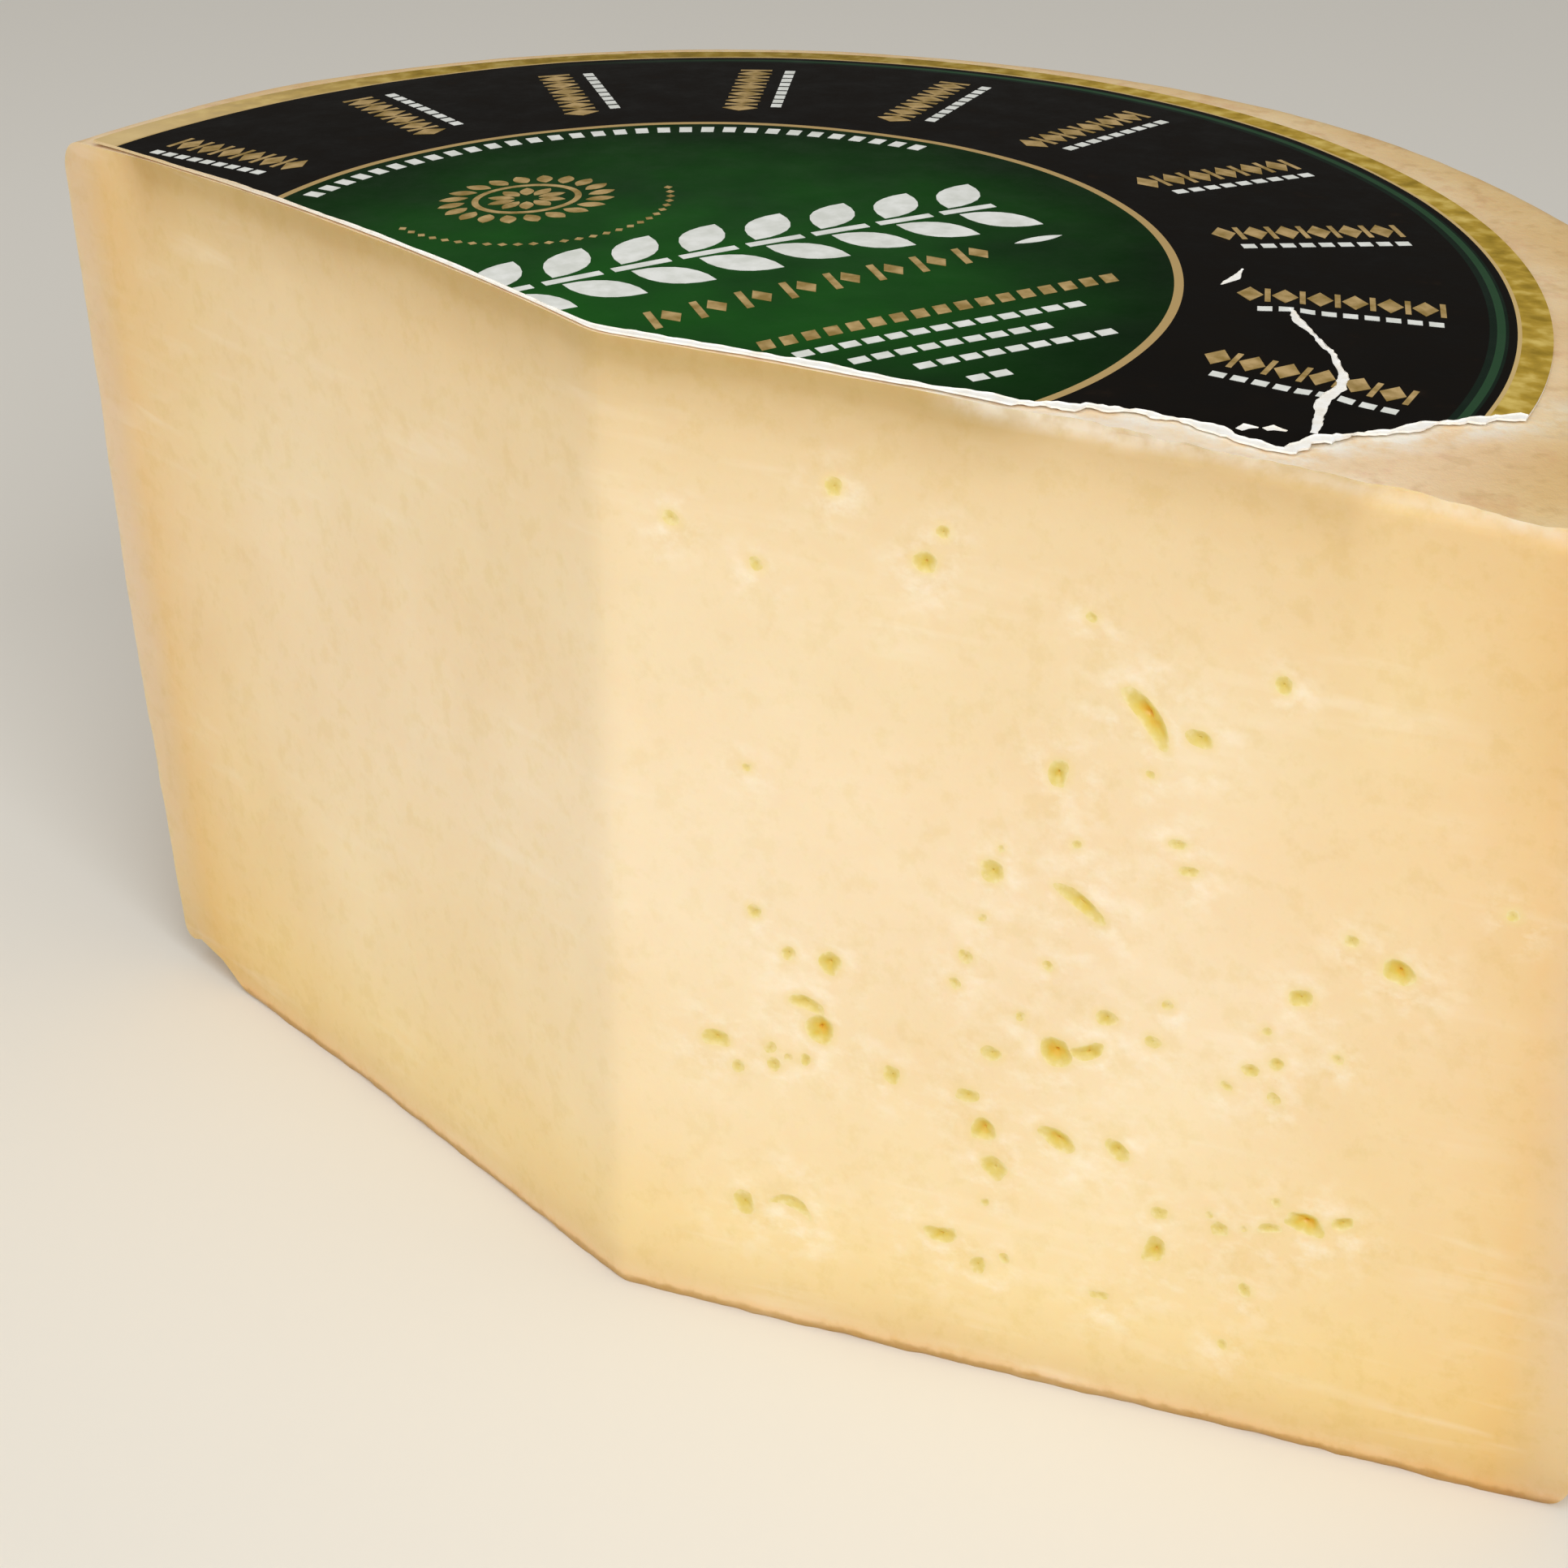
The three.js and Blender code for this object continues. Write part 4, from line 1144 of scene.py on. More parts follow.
def print_material():
    material, t, output = new_material("offset_printed_coated_paper")
    place = add(t, "ShaderNodeTexCoord").outputs["Object"]
    moved, radius = label_radius(t, place)
    to_tip = tip_distance(t, place)
    green, gold = green_field(t, place, radius), gold_border(t, moved, to_tip)
    scuff = add(t, "ShaderNodeTexNoise", {"Vector": place, "Scale": per_metre(5), "Detail": 6.0,
                                          "Roughness": 0.7})
    black = add(t, "ShaderNodeValToRGB", {"Fac": scuff.outputs["Fac"]},
                stops=[(0.4, "#0c0906"), (0.62, "#130f0b"), (0.8, "#261d16")])

    # The gold line and the black ring, which ends a little further in near the left tip
    inner = add(t, "ShaderNodeMath", {0: radius, 1: RING_LINE[0]}, operation="GREATER_THAN").outputs[0]
    colour = add(t, "ShaderNodeMix", {0: inner, 6: green, 7: linear("#b99c68")}, data_type="RGBA").outputs[2]
    outer = add(t, "ShaderNodeMath", {0: radius, 1: RING_LINE[1]}, operation="GREATER_THAN").outputs[0]
    colour = add(t, "ShaderNodeMix", {0: outer, 6: colour, 7: black.outputs[0]}, data_type="RGBA").outputs[2]
    drawn_in = add(t, "ShaderNodeMapRange", {0: to_tip, 1: 55 * MM, 2: 30 * MM, 4: 1.4}).outputs[0]
    border_radius = add(t, "ShaderNodeMath", {0: radius, 1: drawn_in}, operation="ADD").outputs[0]

    # The green hairline, the gold border, and the border's thin pale edge
    worn_off = add(t, "ShaderNodeMapRange", {0: to_tip, 1: 50 * MM, 2: 95 * MM}).outputs[0]
    for middle, half, ink in HAIRLINES:
        hair = add(t, "ShaderNodeMath", {0: border_radius, 1: middle, 2: half},
                   operation="COMPARE").outputs[0]
        hair = add(t, "ShaderNodeMath", {0: hair, 1: worn_off}, operation="MULTIPLY").outputs[0]
        colour = add(t, "ShaderNodeMix", {0: hair, 6: colour, 7: linear(ink)}, data_type="RGBA").outputs[2]
    border = add(t, "ShaderNodeMath", {0: border_radius, 1: BLACK_RADIUS},
                 operation="GREATER_THAN").outputs[0]
    colour = add(t, "ShaderNodeMix", {0: border, 6: colour, 7: gold}, data_type="RGBA").outputs[2]
    hair = add(t, "ShaderNodeMath", {0: border_radius, 1: BLACK_RADIUS + 0.2, 2: 0.2},
               operation="COMPARE").outputs[0]
    colour = add(t, "ShaderNodeMix", {0: hair, 6: colour, 7: linear("#cdb078")}, data_type="RGBA").outputs[2]

    # Paper fibres under the coating, about 0.5 mm, and scuffs that take a little of its gloss
    fibre = add(t, "ShaderNodeTexNoise", {"Vector": place, "Scale": per_metre(0.5), "Detail": 3.0})
    bump = add(t, "ShaderNodeBump", {"Height": fibre.outputs["Fac"], "Strength": 0.12,
                                     "Distance": 0.03 * MM}).outputs[0]
    rough = add(t, "ShaderNodeMapRange",
                {0: scuff.outputs["Fac"], 1: 0.35, 2: 0.75, 3: 0.4, 4: 0.58}).outputs[0]
    surface = add(t, "ShaderNodeBsdfPrincipled", {
        "Base Color": colour, "Roughness": rough, "Normal": bump, "IOR": 1.5, "Specular IOR Level": 0.02,
    })
    t.links.new(surface.outputs[0], output.inputs["Surface"])
    return material


PRINT = print_material()
print("made", PRINT.name)

# %% [markdown]
# The core is uncoated: fibrous, matt and white, and a little yellowed at the left tip, where it was handled.
# The two inks are flat solids. Gold printing ink is a dull pigment rather than metal, so it isn't metallic.

# %% Paper core and inks
def paper_material():
    material, t, output = new_material("uncoated_paper_core_torn")
    place = add(t, "ShaderNodeTexCoord").outputs["Object"]
    fibre = add(t, "ShaderNodeTexNoise",
                {"Vector": place, "Scale": per_metre(1.4), "Detail": 5.0, "Roughness": 0.7})
    colour = add(t, "ShaderNodeValToRGB", {"Fac": fibre.outputs["Fac"]},
                 stops=[(0.3, "#f3ece0"), (0.5, "#fdfaf4"), (0.7, "#ffffff")])
    handled = add(t, "ShaderNodeMapRange",
                  {0: tip_distance(t, place), 1: 50 * MM, 2: 6 * MM, 4: 0.9}).outputs[0]
    colour = add(t, "ShaderNodeMix", {0: handled, 6: colour.outputs[0], 7: linear("#d8bc88")},
                 data_type="RGBA").outputs[2]
    bump = add(t, "ShaderNodeBump",
               {"Height": fibre.outputs["Fac"], "Strength": 0.8, "Distance": 0.15 * MM}).outputs[0]
    surface = add(t, "ShaderNodeBsdfPrincipled", {
        "Base Color": colour, "Roughness": 0.9, "Normal": bump, "IOR": 1.5, "Specular IOR Level": 0.2,
    })
    t.links.new(surface.outputs[0], output.inputs["Surface"])
    return material


def ink_material(name, light, dark):
    """A flat ink with the slight unevenness of a printed solid."""
    material, t, output = new_material(name)
    place = add(t, "ShaderNodeTexCoord").outputs["Object"]
    grain = add(t, "ShaderNodeTexNoise", {"Vector": place, "Scale": per_metre(1.8), "Detail": 4.0})
    colour = add(t, "ShaderNodeValToRGB", {"Fac": grain.outputs["Fac"]}, stops=[(0.35, dark), (0.65, light)])
    surface = add(t, "ShaderNodeBsdfPrincipled", {
        "Base Color": colour.outputs[0], "Roughness": 0.5, "IOR": 1.5, "Specular IOR Level": 0.15,
    })
    t.links.new(surface.outputs[0], output.inputs["Surface"])
    return material


PAPER = paper_material()
GOLD_INK = ink_material("dull_gold_printing_ink", "#c3a570", "#94793f")
WHITE_INK = ink_material("opaque_white_printing_ink", "#f2f3ef", "#dfe1da")
print("made", [m.name for m in (PAPER, GOLD_INK, WHITE_INK)])

# %% [markdown]
# ### Cutting and tearing the plies
#
# The same knife went through the label, so its straight edges follow the cuts, with the print a little
# further back than its core. At the right a piece was torn away. A torn edge is ragged at two scales, so the
# few corners of the tear are joined by short steps with a coarse and a fine jitter.

# %% Cutters for the label
RAG_STEP = 0.5                        # mm between the points of a torn edge
COARSE_TEETH, FINE_TEETH = 2.6, 0.7   # mm along the edge
FINE_RAG = 0.25                       # mm by which the fine teeth stand out
PRISM_LOW, PRISM_HIGH = 90.0, 125.0   # heights well below and above the label
LEAST_BACK = 0.1                      # mm that every ply stays back from the cheese's edge
TIP_BACK, TIP_BLEND = 0.3, 26.0       # share of the set-back that is left at the left tip, and mm up to it
LEFT_ROUGH = 0.35                     # share of the nicks that the clean left cut has


def ragged(line, coarse, fine, seed, shift=None):
    """Short steps along a line of corners, moved to its right by noise and, where given, by shift(x)."""
    out = []
    for (ax, ay), (bx, by) in zip(line[:-1], line[1:]):
        length = math.dist((ax, ay), (bx, by))
        count = max(1, round(length / RAG_STEP))
        for i in range(count):
            x, y = mix(ax, bx, i / count), mix(ay, by, i / count)
            side = coarse * noise.noise(Vector((x / COARSE_TEETH, y / COARSE_TEETH, seed))) * NOISE_GAIN
            side += fine * noise.noise(Vector((x / FINE_TEETH, y / FINE_TEETH, seed + 5))) * NOISE_GAIN
            side += shift(x) if shift else 0.0
            out.append((x + side * (by - ay) / length, y - side * (bx - ax) / length))
    return out + [line[-1]]


def prisms(name, *outlines, material=None):
    """One mesh of tall closed prisms over flat outlines, which must not touch."""
    points, faces = [], []
    for outline in outlines:
        first, count = len(points), len(outline)
        points += [(x, y, z) for z in (PRISM_LOW, PRISM_HIGH) for x, y in outline]
        faces += [tuple(first + i for i in range(count))[::-1],
                  tuple(first + count + i for i in range(count))]
        faces += [(first + i, first + (i + 1) % count, first + count + (i + 1) % count, first + count + i)
                  for i in range(count)]
    return piece_from(name, points, faces, material)


def torn_off(shift, seed, coarse):
    """The block of the label that was torn away."""
    edge = ragged(TEAR, coarse, FINE_RAG, seed, shift)
    return prisms("torn_off", edge + [(110, -22), (110, -90), (18, -90)], material=PAPER)


def band(name, line, widths, jitter, seed):
    """A narrow prism along a line, as wide as the widths say, with ragged sides."""
    left, right = [], []
    for i, ((x, y), width) in enumerate(zip(line, widths)):
        before, after = line[max(i - 1, 0)], line[min(i + 1, len(line) - 1)]
        dx, dy = after[0] - before[0], after[1] - before[1]
        length = math.hypot(dx, dy)
        left.append((x - dy / length * width / 2, y + dx / length * width / 2))
        right.append((x + dy / length * width / 2, y - dx / length * width / 2))
    outline = ragged(left, jitter, jitter / 2, seed) + ragged(right[::-1], jitter, jitter / 2, seed + 3)
    return prisms(name, outline, material=PAPER)


def label_knife(set_back_left, set_back_right, rough, seed):
    """The knife's path through the label, moved back from the cheese's own edge."""
    s = np.concatenate([np.linspace(-RIGHT_REACH * 1.6, -RIGHT_REACH - 3, 5),
                        np.arange(-RIGHT_REACH - 2, LEFT_REACH + 2, 0.5),
                        np.linspace(LEFT_REACH + 3, LEFT_REACH * 1.6, 5)])
    w = np.array([0.9, 1.0, 1.1, 1.2])   # shares of the height, from below the label to above it
    s_grid, w_grid = np.meshgrid(s, w)
    flat = np.stack([s, 0 * s, 0 * s], axis=-1)
    on_left = ease((s + 4) / 8)   # from 0 to 1 across the ridge
    near_tip = ease((LEFT_TIP_AT - s) / TIP_BLEND)
    back = mix(set_back_right, set_back_left, on_left) * mix(TIP_BACK, 1.0, near_tip)
    nicks = lumps(flat, 6, seed) + 0.4 * lumps(flat, 1.3, seed + 2)
    back = back + rough * mix(1.0, LEFT_ROUGH, on_left) * nicks
    out = blade_relief(s_grid, w_grid) - np.maximum(back, LEAST_BACK)[None, :]
    return air_block("label_knife", s, w, out, PAPER)


print("tear corners:", len(TEAR))

# %% [markdown]
# The plies start as whole discs and are cut with those tools, one after another. Whatever is printed ends at
# the same lines, so one function makes the printed paper here and the films of ink later. At the left the
# paper was cut cleanly, and at the right the blade lifted the print a little.

# %% Make the plies
# Mm back from the cheese's edge at the left and right, and how far its nicks go
CORE_SET_BACKS, CORE_ROUGH = (0.12, 0.15), 0.12
PRINT_SET_BACKS, PRINT_ROUGH = (0.3, 0.85), 0.4


def core_margin(x):
    """How far the torn core reaches past the torn print."""
    return mix(0.85, 0.55, float(ease((x - 50) / 9))) + 0.4 * noise.noise(Vector((x / 3, 0, 2)))


def cut_ply(piece, set_backs, rough, seed, shift, coarse):
    """Cuts a disc along the knife's path and along the tear."""
    cut(piece, label_knife(*set_backs, rough, seed))
    cut(piece, torn_off(shift, seed + 1, coarse))


def printed_layer(name, low, high, material):
    """A layer that ends where the print ends: at the cuts, the tear and the crack."""
    layer = disc_ply(name, low, high, LABEL_RADIUS, material)
    cut_ply(layer, PRINT_SET_BACKS, PRINT_ROUGH, 4.5, None, 0.45)
    cut(layer, band("crack", CRACK, CRACK_WIDTH, 0.22, 2.0))
    cut(layer, band("scratch", SCRATCH, SCRATCH_WIDTH, 0.12, 6.0))
    for i, flake in enumerate(FLAKES):
        cut(layer, band("flake", flake, FLAKE_WIDTH, 0.15, 8.0 + i))
    return layer


label_core = disc_ply("label_core", 0.0, CORE_THICKNESS, LABEL_RADIUS, PAPER)
cut_ply(label_core, CORE_SET_BACKS, CORE_ROUGH, 1.5, core_margin, 0.5)
label_print = printed_layer("label_print", CORE_THICKNESS, CORE_THICKNESS + PRINT_THICKNESS, PRINT)
print("core faces:", len(label_core.data.polygons), "print faces:", len(label_print.data.polygons))

# %% [markdown]
# ### Ornament in gold and white ink
#
# The ornament is plain: rows of lozenges and dashes, a sprig of leaves and a rosette. Almost all of it is one
# small motif repeated along a line or round a ring, which is what Geometry Nodes are for. An Array modifier
# could do the rows, but not a ring with a first angle and a step. Two trees do both. Each places copies of
# the mesh that it sits on, realizes them and gives them their ink.

# %% Node trees for a row and a ring
def tree_with_inputs(name, inputs):
    """An empty geometry tree with a geometry input and output, and those named inputs."""
    tree = bpy.data.node_groups.new(name, "GeometryNodeTree")
    tree.interface.new_socket("Geometry", in_out="INPUT", socket_type="NodeSocketGeometry")
    tree.interface.new_socket("Geometry", in_out="OUTPUT", socket_type="NodeSocketGeometry")
    for label, kind in inputs:
        tree.interface.new_socket(label, in_out="INPUT", socket_type=kind)
    return tree, add(tree, "NodeGroupInput"), add(tree, "NodeGroupOutput")


def finish_tree(tree, group_in, group_out, points, rotation):
    """Copies of the motif on the points, as real faces in the given ink."""
    inputs = {"Points": points, "Instance": group_in.outputs["Geometry"]}
    if rotation:
        inputs["Rotation"] = rotation
    copies = add(tree, "GeometryNodeInstanceOnPoints", inputs)
    real = add(tree, "GeometryNodeRealizeInstances", {"Geometry": copies.outputs[0]})
    inked = add(tree, "GeometryNodeSetMaterial",
                {"Geometry": real.outputs[0], "Material": group_in.outputs["Ink"]})
    tree.links.new(inked.outputs[0], group_out.inputs[0])


def row_tree():
    """Copies along X, a spacing apart."""
    tree, group_in, group_out = tree_with_inputs("motifs_in_a_row", [
        ("Count", "NodeSocketInt"), ("Spacing", "NodeSocketFloat"), ("Ink", "NodeSocketMaterial")])
    offset = add(tree, "ShaderNodeCombineXYZ", {"X": group_in.outputs["Spacing"]}).outputs[0]
    line = add(tree, "GeometryNodeMeshLine", {"Count": group_in.outputs["Count"], "Offset": offset})
    finish_tree(tree, group_in, group_out, line.outputs[0], None)
    return tree


def ring_tree():
    """Copies about Z, a step apart from the first angle on: all on one point, with their own turns."""
    tree, group_in, group_out = tree_with_inputs("motifs_round_a_ring", [
        ("Count", "NodeSocketInt"), ("First Angle", "NodeSocketFloat"), ("Step", "NodeSocketFloat"),
        ("Ink", "NodeSocketMaterial")])
    middle = add(tree, "GeometryNodeMeshLine",
                 {"Count": group_in.outputs["Count"], "Offset": (0.0, 0.0, 0.0)})
    index = add(tree, "GeometryNodeInputIndex").outputs[0]
    angle = add(tree, "ShaderNodeMath",
                {0: index, 1: group_in.outputs["Step"], 2: group_in.outputs["First Angle"]},
                operation="MULTIPLY_ADD").outputs[0]
    turns = add(tree, "ShaderNodeCombineXYZ", {"Z": angle}).outputs[0]
    finish_tree(tree, group_in, group_out, middle.outputs[0], turns)
    return tree


ROW, RING = row_tree(), ring_tree()
print("trees:", ROW.name, RING.name)

# %% [markdown]
# A tree is a modifier on the motif's own object. The modifier takes its inputs by the identifiers of their
# sockets, not by their names, and they are set before Blender first works the tree out. The copies then
# become the object's plain mesh, which a Boolean can cut.

# %% Run a tree on a motif
def repeat(piece, tree, **values):
    """Runs a tree on a motif with those inputs, and leaves the copies as its plain mesh."""
    step = piece.modifiers.new("repeat", "NODES")
    step.node_group = tree
    for item in tree.interface.items_tree:
        name = item.name.replace(" ", "_").lower()
        if item.in_out == "INPUT" and name in values:
            step[item.identifier] = values[name]
    bpy.context.view_layer.update()
    apply_modifiers(piece)
    return piece


print("inputs of a ring:", [i.name for i in RING.interface.items_tree if i.in_out == "INPUT"])

# %% [markdown]
# The motifs are tall prisms over flat outlines. A thin film with the print's own shape then cuts them to
# height, so the ink follows the dome and stops where the paper was cut or torn. Flat shapes pushed onto the
# dome by a modifier would have to be cut along the tear one by one.

# %% Outlines of the motifs
def lozenge(wide, tall, x=0.0, y=0.0):
    """A lozenge about x, y."""
    return [(x - wide / 2, y), (x, y - tall / 2), (x + wide / 2, y), (x, y + tall / 2)]


def bar(wide, tall, x=0.0, y=0.0, lean=0.0):
    """A bar about x, y, with its top leaning over to the right."""
    return [(x - wide / 2 - lean, y - tall / 2), (x + wide / 2 - lean, y - tall / 2),
            (x + wide / 2 + lean, y + tall / 2), (x - wide / 2 + lean, y + tall / 2)]


def leaf(long, wide, turn, x=0.0, y=0.0, steps=7):
    """A pointed leaf that starts at x, y and grows in the direction of turn, in degrees."""
    a = math.radians(turn)
    half = [(long * i / steps, wide / 2 * math.sin(math.pi * i / steps) ** 0.8) for i in range(steps + 1)]
    sides = half + [(u, -v) for u, v in half[-2:0:-1]]
    return [(x + u * math.cos(a) - v * math.sin(a), y + u * math.sin(a) + v * math.cos(a)) for u, v in sides]


print("leaf points:", len(leaf(9, 4, 30)))

# %% [markdown]
# A motif is made about the origin, because the trees repeat it from there, and is laid on its place afterwards.
# All motifs of one ink become one mesh, so that a single Boolean cuts them to the film. Cutting each one by
# itself would take far longer and end the same.

# %% Lay and join motifs
def round_wall(name, inner, outer, steps=64):
    """A tall round wall between two radii."""
    turn = [2 * math.pi * i / steps for i in range(steps)]
    points = [(r * math.cos(a), r * math.sin(a), z)
              for r in (inner, outer) for z in (PRISM_LOW, PRISM_HIGH) for a in turn]
    faces = []
    for j in range(steps):
        k = (j + 1) % steps
        a, b, c, d = j, steps + j, 2 * steps + j, 3 * steps + j
        a2, b2, c2, d2 = k, steps + k, 2 * steps + k, 3 * steps + k
        faces += [(a, b, b2, a2), (c, c2, d2, d), (a, a2, c2, c), (b, d, d2, b2)]
    return piece_from(name, points, faces)


def lay(piece, x, y, turn, stretch=(1.0, 1.0)):
    """Stretches and turns a motif and moves it to its place, measured from the label's middle."""
    place = Matrix.Translation(((x + LABEL_CENTRE[0]) * MM, (y + LABEL_CENTRE[1]) * MM, 0.0))
    shape = Matrix.Diagonal((stretch[0], stretch[1], 1.0, 1.0))
    piece.data.transform(place @ Matrix.Rotation(math.radians(turn), 4, "Z") @ shape)
    return piece


def joined(name, pieces):
    """One object from several, with their meshes joined."""
    whole = bmesh.new()
    for piece in pieces:
        whole.from_mesh(piece.data)
        bpy.data.objects.remove(piece)
    mesh = bpy.data.meshes.new(name)
    whole.to_mesh(mesh)
    whole.free()
    result = bpy.data.objects.new(name, mesh)
    bpy.context.scene.collection.objects.link(result)
    return result


def turned(x, y, degrees):
    """A place turned about the origin."""
    a = math.radians(degrees)
    return x * math.cos(a) - y * math.sin(a), x * math.sin(a) + y * math.cos(a)


print("motifs are laid round", LABEL_CENTRE)

# %% [markdown]
# Round the black ring stand ten marks, each a short row of lozenges and bars with a row of dashes beside it.
# The green disc has rows that climb to the right: a sprig of leaves in white, lozenges and bars in gold below
# it, and fine rows of dashes. Behind them stands an oval rosette of leaves with a garland of beads. Lengths
# are in millimetres and angles in degrees, and each row starts at its first motif.

# %% Gold ornament
ORNAMENT_TURN = 24.0   # the rows climb to the right by about this much
MARKS, FIRST_MARK, MARK_STEP = 10, 139.4, -18.35   # the first one's angle, and the angle between two
MARK_RADIUS = 54.6     # of a mark's first lozenge
ROSETTE = (-6.4, 25.0)
ROSETTE_SQUASH = (1.0, 0.84)   # an oval


def row_at(piece, x, y, extra_turn=0.0):
    """Lays a row whose first motif is at x, y of the ornament's own turned frame."""
    return lay(piece, *turned(x, y, ORNAMENT_TURN), ORNAMENT_TURN + extra_turn)


def gold_marks():
    """The marks in the black ring."""
    mark = repeat(prisms("mark", lozenge(2.5, 3.9), bar(0.55, 3.6, x=1.65)),
                  ROW, count=6, spacing=3.3 * MM, ink=GOLD_INK)
    mark.data.transform(Matrix.Translation((MARK_RADIUS * MM, 0, 0)))
    marks = repeat(mark, RING, count=MARKS, first_angle=math.radians(FIRST_MARK),
                   step=math.radians(MARK_STEP), ink=GOLD_INK)
    return lay(marks, 0, 0, 0)


def rosette():
    """Two rings of leaves, a ring line between them, and the garland."""
    pieces = []
    for count, outline in ((20, leaf(3.0, 1.7, 24, x=6.4)), (10, leaf(2.9, 1.5, 0, x=1.3))):
        petals = repeat(prisms("petal", outline), RING, count=count, first_angle=0.0,
                        step=math.radians(360 / count), ink=GOLD_INK)
        pieces.append(lay(petals, *turned(*ROSETTE, ORNAMENT_TURN), ORNAMENT_TURN, ROSETTE_SQUASH))
    ring = round_wall("rosette_ring", 5.0, 5.7)
    pieces.append(lay(ring, *turned(*ROSETTE, ORNAMENT_TURN), ORNAMENT_TURN, ROSETTE_SQUASH))
    garland = repeat(prisms("bead", lozenge(0.9, 1.0, x=14.6)), RING, count=27, first_angle=math.radians(192),
                     step=math.radians(6), ink=GOLD_INK)
    pieces.append(lay(garland, *turned(*ROSETTE, ORNAMENT_TURN), ORNAMENT_TURN))
    return pieces


def gold_ornament():
    """The marks, a row of bars and lozenges, a row of small bars, and the rosette."""
    marks = gold_marks()
    open_row = repeat(prisms("open", bar(0.8, 4.2, x=-1.35, lean=0.5), lozenge(2.2, 3.4, x=0.6)),
                      ROW, count=8, spacing=4.9 * MM, ink=GOLD_INK)
    open_row = row_at(open_row, -7.2, -13.6, 7.0)
    small_row = repeat(prisms("small", bar(1.5, 2.0, lean=0.25)), ROW, count=17, spacing=2.35 * MM,
                       ink=GOLD_INK)
    small_row = row_at(small_row, -1.6, -23.9, 5.5)
    return joined("gold_ornament", [marks, open_row, small_row] + rosette())


gold_prisms = gold_ornament()
print("gold prisms have", len(gold_prisms.data.polygons), "faces")

# %% White ornament
DASH_RADIUS = 56.0   # of the first dash beside a mark
DASH_SIDE = 3.9      # mm beside the mark's middle; the first mark has its dashes on its other side
FINE_ROWS = ((0.6, -27.2, 13), (4.6, -30.6, 9), (9.5, -34.0, 9), (12.6, -38.4, 2))   # x, y and dashes


def white_ring():
    """The dashes beside the marks, and the arc of small bars inside the gold line."""
    pieces = []
    for side, count, first in ((DASH_SIDE, 1, 0), (-DASH_SIDE, MARKS - 1, 1)):
        dashes = repeat(prisms("dash", bar(1.4, 1.15, y=side)), ROW, count=9, spacing=2.0 * MM, ink=WHITE_INK)
        dashes.data.transform(Matrix.Translation((DASH_RADIUS * MM, 0, 0)))
        dashes = repeat(dashes, RING, count=count, first_angle=math.radians(FIRST_MARK + first * MARK_STEP),
                        step=math.radians(MARK_STEP), ink=WHITE_INK)
        pieces.append(lay(dashes, 0, 0, 0))
    arc = repeat(prisms("arc", bar(1.9, 1.35, x=45.1)), RING, count=31, first_angle=math.radians(147.5),
                 step=math.radians(-3.0), ink=WHITE_INK)
    return pieces + [lay(arc, 0, 0, 0)]


def white_ornament():
    """The ring's dashes and arc, the sprig with its loose last leaf, and the fine rows."""
    pieces = white_ring()
    leaves = prisms("leaves", leaf(8.6, 4.4, 46, y=1.1), leaf(8.6, 4.4, -46, y=-1.1), bar(6.1, 1.1, x=1.6))
    sprig = repeat(leaves, ROW, count=8, spacing=7.3 * MM, ink=WHITE_INK)
    pieces.append(row_at(sprig, -20.0, -0.6, 4.0))
    pieces.append(row_at(prisms("loose_leaf", leaf(5.6, 1.3, 6)), 32.0, -8.2))
    for x, y, count in FINE_ROWS:
        fine_row = repeat(prisms("fine_row", bar(1.8, 1.3)), ROW, count=count, spacing=2.4 * MM,
                          ink=WHITE_INK)
        pieces.append(row_at(fine_row, x, y, 3.5))
    return joined("white_ornament", pieces)


white_prisms = white_ornament()
print("white prisms have", len(white_prisms.data.polygons), "faces")

# %% [markdown]
# A film of ink is one more printed layer, a few hundredths of a millimetre thick, that starts just inside the
# printed paper. What it shares with the prisms is the ink. The cutters leave faces of white paper round its
# edges, so each film is given its one ink again at the end.

# %% Cut the films of ink
PAPER_TOP = CORE_THICKNESS + PRINT_THICKNESS
INK_FILM = (PAPER_TOP - 0.02, PAPER_TOP + 0.035)   # mm above the label's underside


def ink_film(name, shapes, ink):
    """The film of one ink, in the given shapes."""
    film = printed_layer(name, *INK_FILM, ink)
    cut(film, shapes, "INTERSECT")
    film.data.materials.clear()
    film.data.materials.append(ink)
    film.data.polygons.foreach_set("material_index", [0] * len(film.data.polygons))
    return film


label_gold = ink_film("label_gold_ink", gold_prisms, GOLD_INK)
label_white = ink_film("label_white_ink", white_prisms, WHITE_INK)
for piece in (label_core, label_print, label_gold, label_white):
    smooth_shade(piece, 30)
    print(piece.name, len(piece.data.polygons), "faces")

# %% [markdown]
# ## Floor, light and camera
#
# The piece stands on a plain pale floor. The light is bright and soft: a large lamp in front to the right, a
# weaker one in front to the left, a faint one above, and a pale sky all round. One sky alone would leave both
# cuts equally bright, and the ridge between them would be lost. The standard view transform shows colours as
# they were given.

# %% Stage
def floor():
    """A sheet that reaches far past the picture on all sides."""
    material, t, output = new_material("plain_pale_studio_floor")
    surface = add(t, "ShaderNodeBsdfPrincipled", {"Base Color": linear("#eeeae2"), "Roughness": 0.8,
                                                  "Specular IOR Level": 0.2})
    t.links.new(surface.outputs[0], output.inputs["Surface"])
    half = 3000.0
    sheet = piece_from("studio_floor",
                       [(-half, -half, 0), (half, -half, 0), (half, half, 0), (-half, half, 0)],
                       [(0, 1, 2, 3)], material)


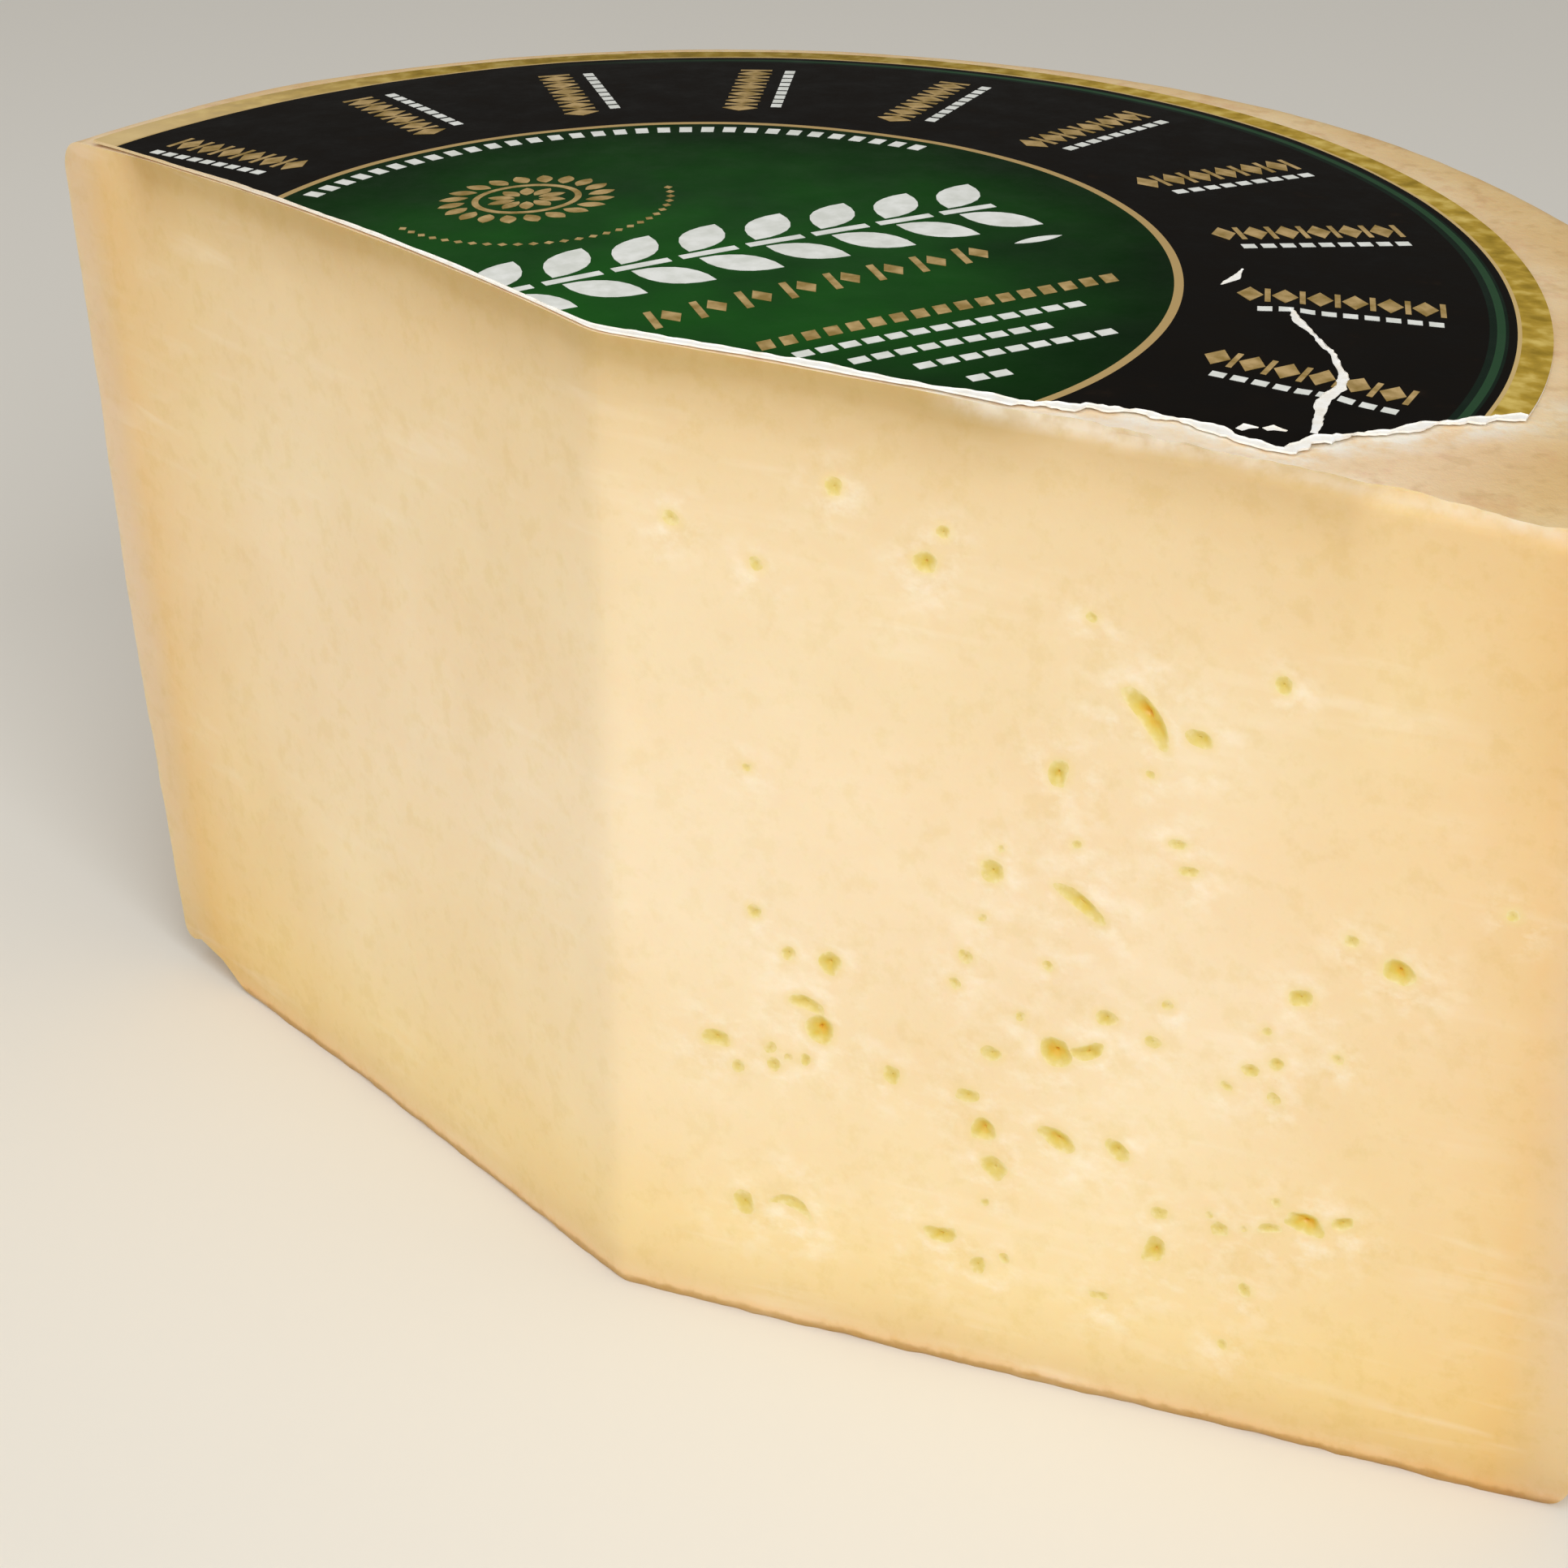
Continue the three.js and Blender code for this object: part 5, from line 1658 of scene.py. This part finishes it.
def soft_lamp(name, place, target, size, power, colour):
    """A square area lamp at a place, aimed at a target; lengths are in metres, and power is in watts."""
    lamp = bpy.data.lights.new(name, "AREA")
    lamp.size = size
    lamp.energy = power
    lamp.color = linear(colour)[:3]
    holder = bpy.data.objects.new(name, lamp)
    aim = Vector(target) - Vector(place)
    holder.matrix_world = Matrix.Translation(place) @ aim.to_track_quat("-Z", "Y").to_matrix().to_4x4()
    bpy.context.scene.collection.objects.link(holder)


def sky(colour, strength):
    """An even background that lights the piece from all sides."""
    world = bpy.data.worlds.new("pale_studio_sky")
    world.use_nodes = True
    background = world.node_tree.nodes["Background"]
    background.inputs["Color"].default_value = linear(colour)
    background.inputs["Strength"].default_value = strength
    bpy.context.scene.world = world


floor()
middle = (0.0, 0.0, 0.05)
soft_lamp("key", (0.35, -0.95, 0.8), middle, 0.6, 7.1, "#f9fdff")
soft_lamp("fill", (-0.75, -0.7, 0.55), middle, 0.9, 5.25, "#fffcf6")
soft_lamp("above", (0.0, -0.1, 1.1), middle, 0.9, 2.4, "#ffffff")
sky("#f4f1ec", 0.32)
bpy.context.scene.view_settings.view_transform = "Standard"

# %% [markdown]
# The camera stands where the photograph was taken from, and looks down on the piece by 28 degrees. Its place
# and angles come from fitting the rim, the label's edge, the ridge and the base lines to what the photograph
# shows of them. The lens is a share of the picture's width, so it holds for a square picture of any size.

# %% Camera
CAMERA_PLACE = (9.4855, -319.9437, 224.4271)   # mm
CAMERA_PITCH = 0.4889                          # radians below the horizon, looking along +Y
CAMERA_ROLL = -0.01
SENSOR = 36.0
FOCAL_IN_WIDTHS = 4400 / 1932                  # focal length as a share of the picture's width

camera_data = bpy.data.cameras.new("camera")
camera_data.sensor_width = SENSOR
camera_data.lens = SENSOR * FOCAL_IN_WIDTHS
camera_data.clip_start = 0.01
camera = bpy.data.objects.new("camera", camera_data)
pitch, roll = Matrix.Rotation(math.pi / 2 - CAMERA_PITCH, 4, "X"), Matrix.Rotation(CAMERA_ROLL, 4, "Z")
camera.matrix_world = Matrix.Translation(Vector(CAMERA_PLACE) * MM) @ pitch @ roll
bpy.context.scene.collection.objects.link(camera)
bpy.context.scene.camera = camera
print("lens in mm:", round(camera_data.lens, 2))

# %% [markdown]
# ## On the part's body
#
# Each piece rides on the part's one body and stands for its imported solid, which is hidden.

# %% Ride and replace
for piece, node in ((cheese, "cheese"), (label_core, "label"), (label_print, "label"),
                    (label_gold, "label"), (label_white, "label")):
    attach(piece, "root")
    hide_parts(node)
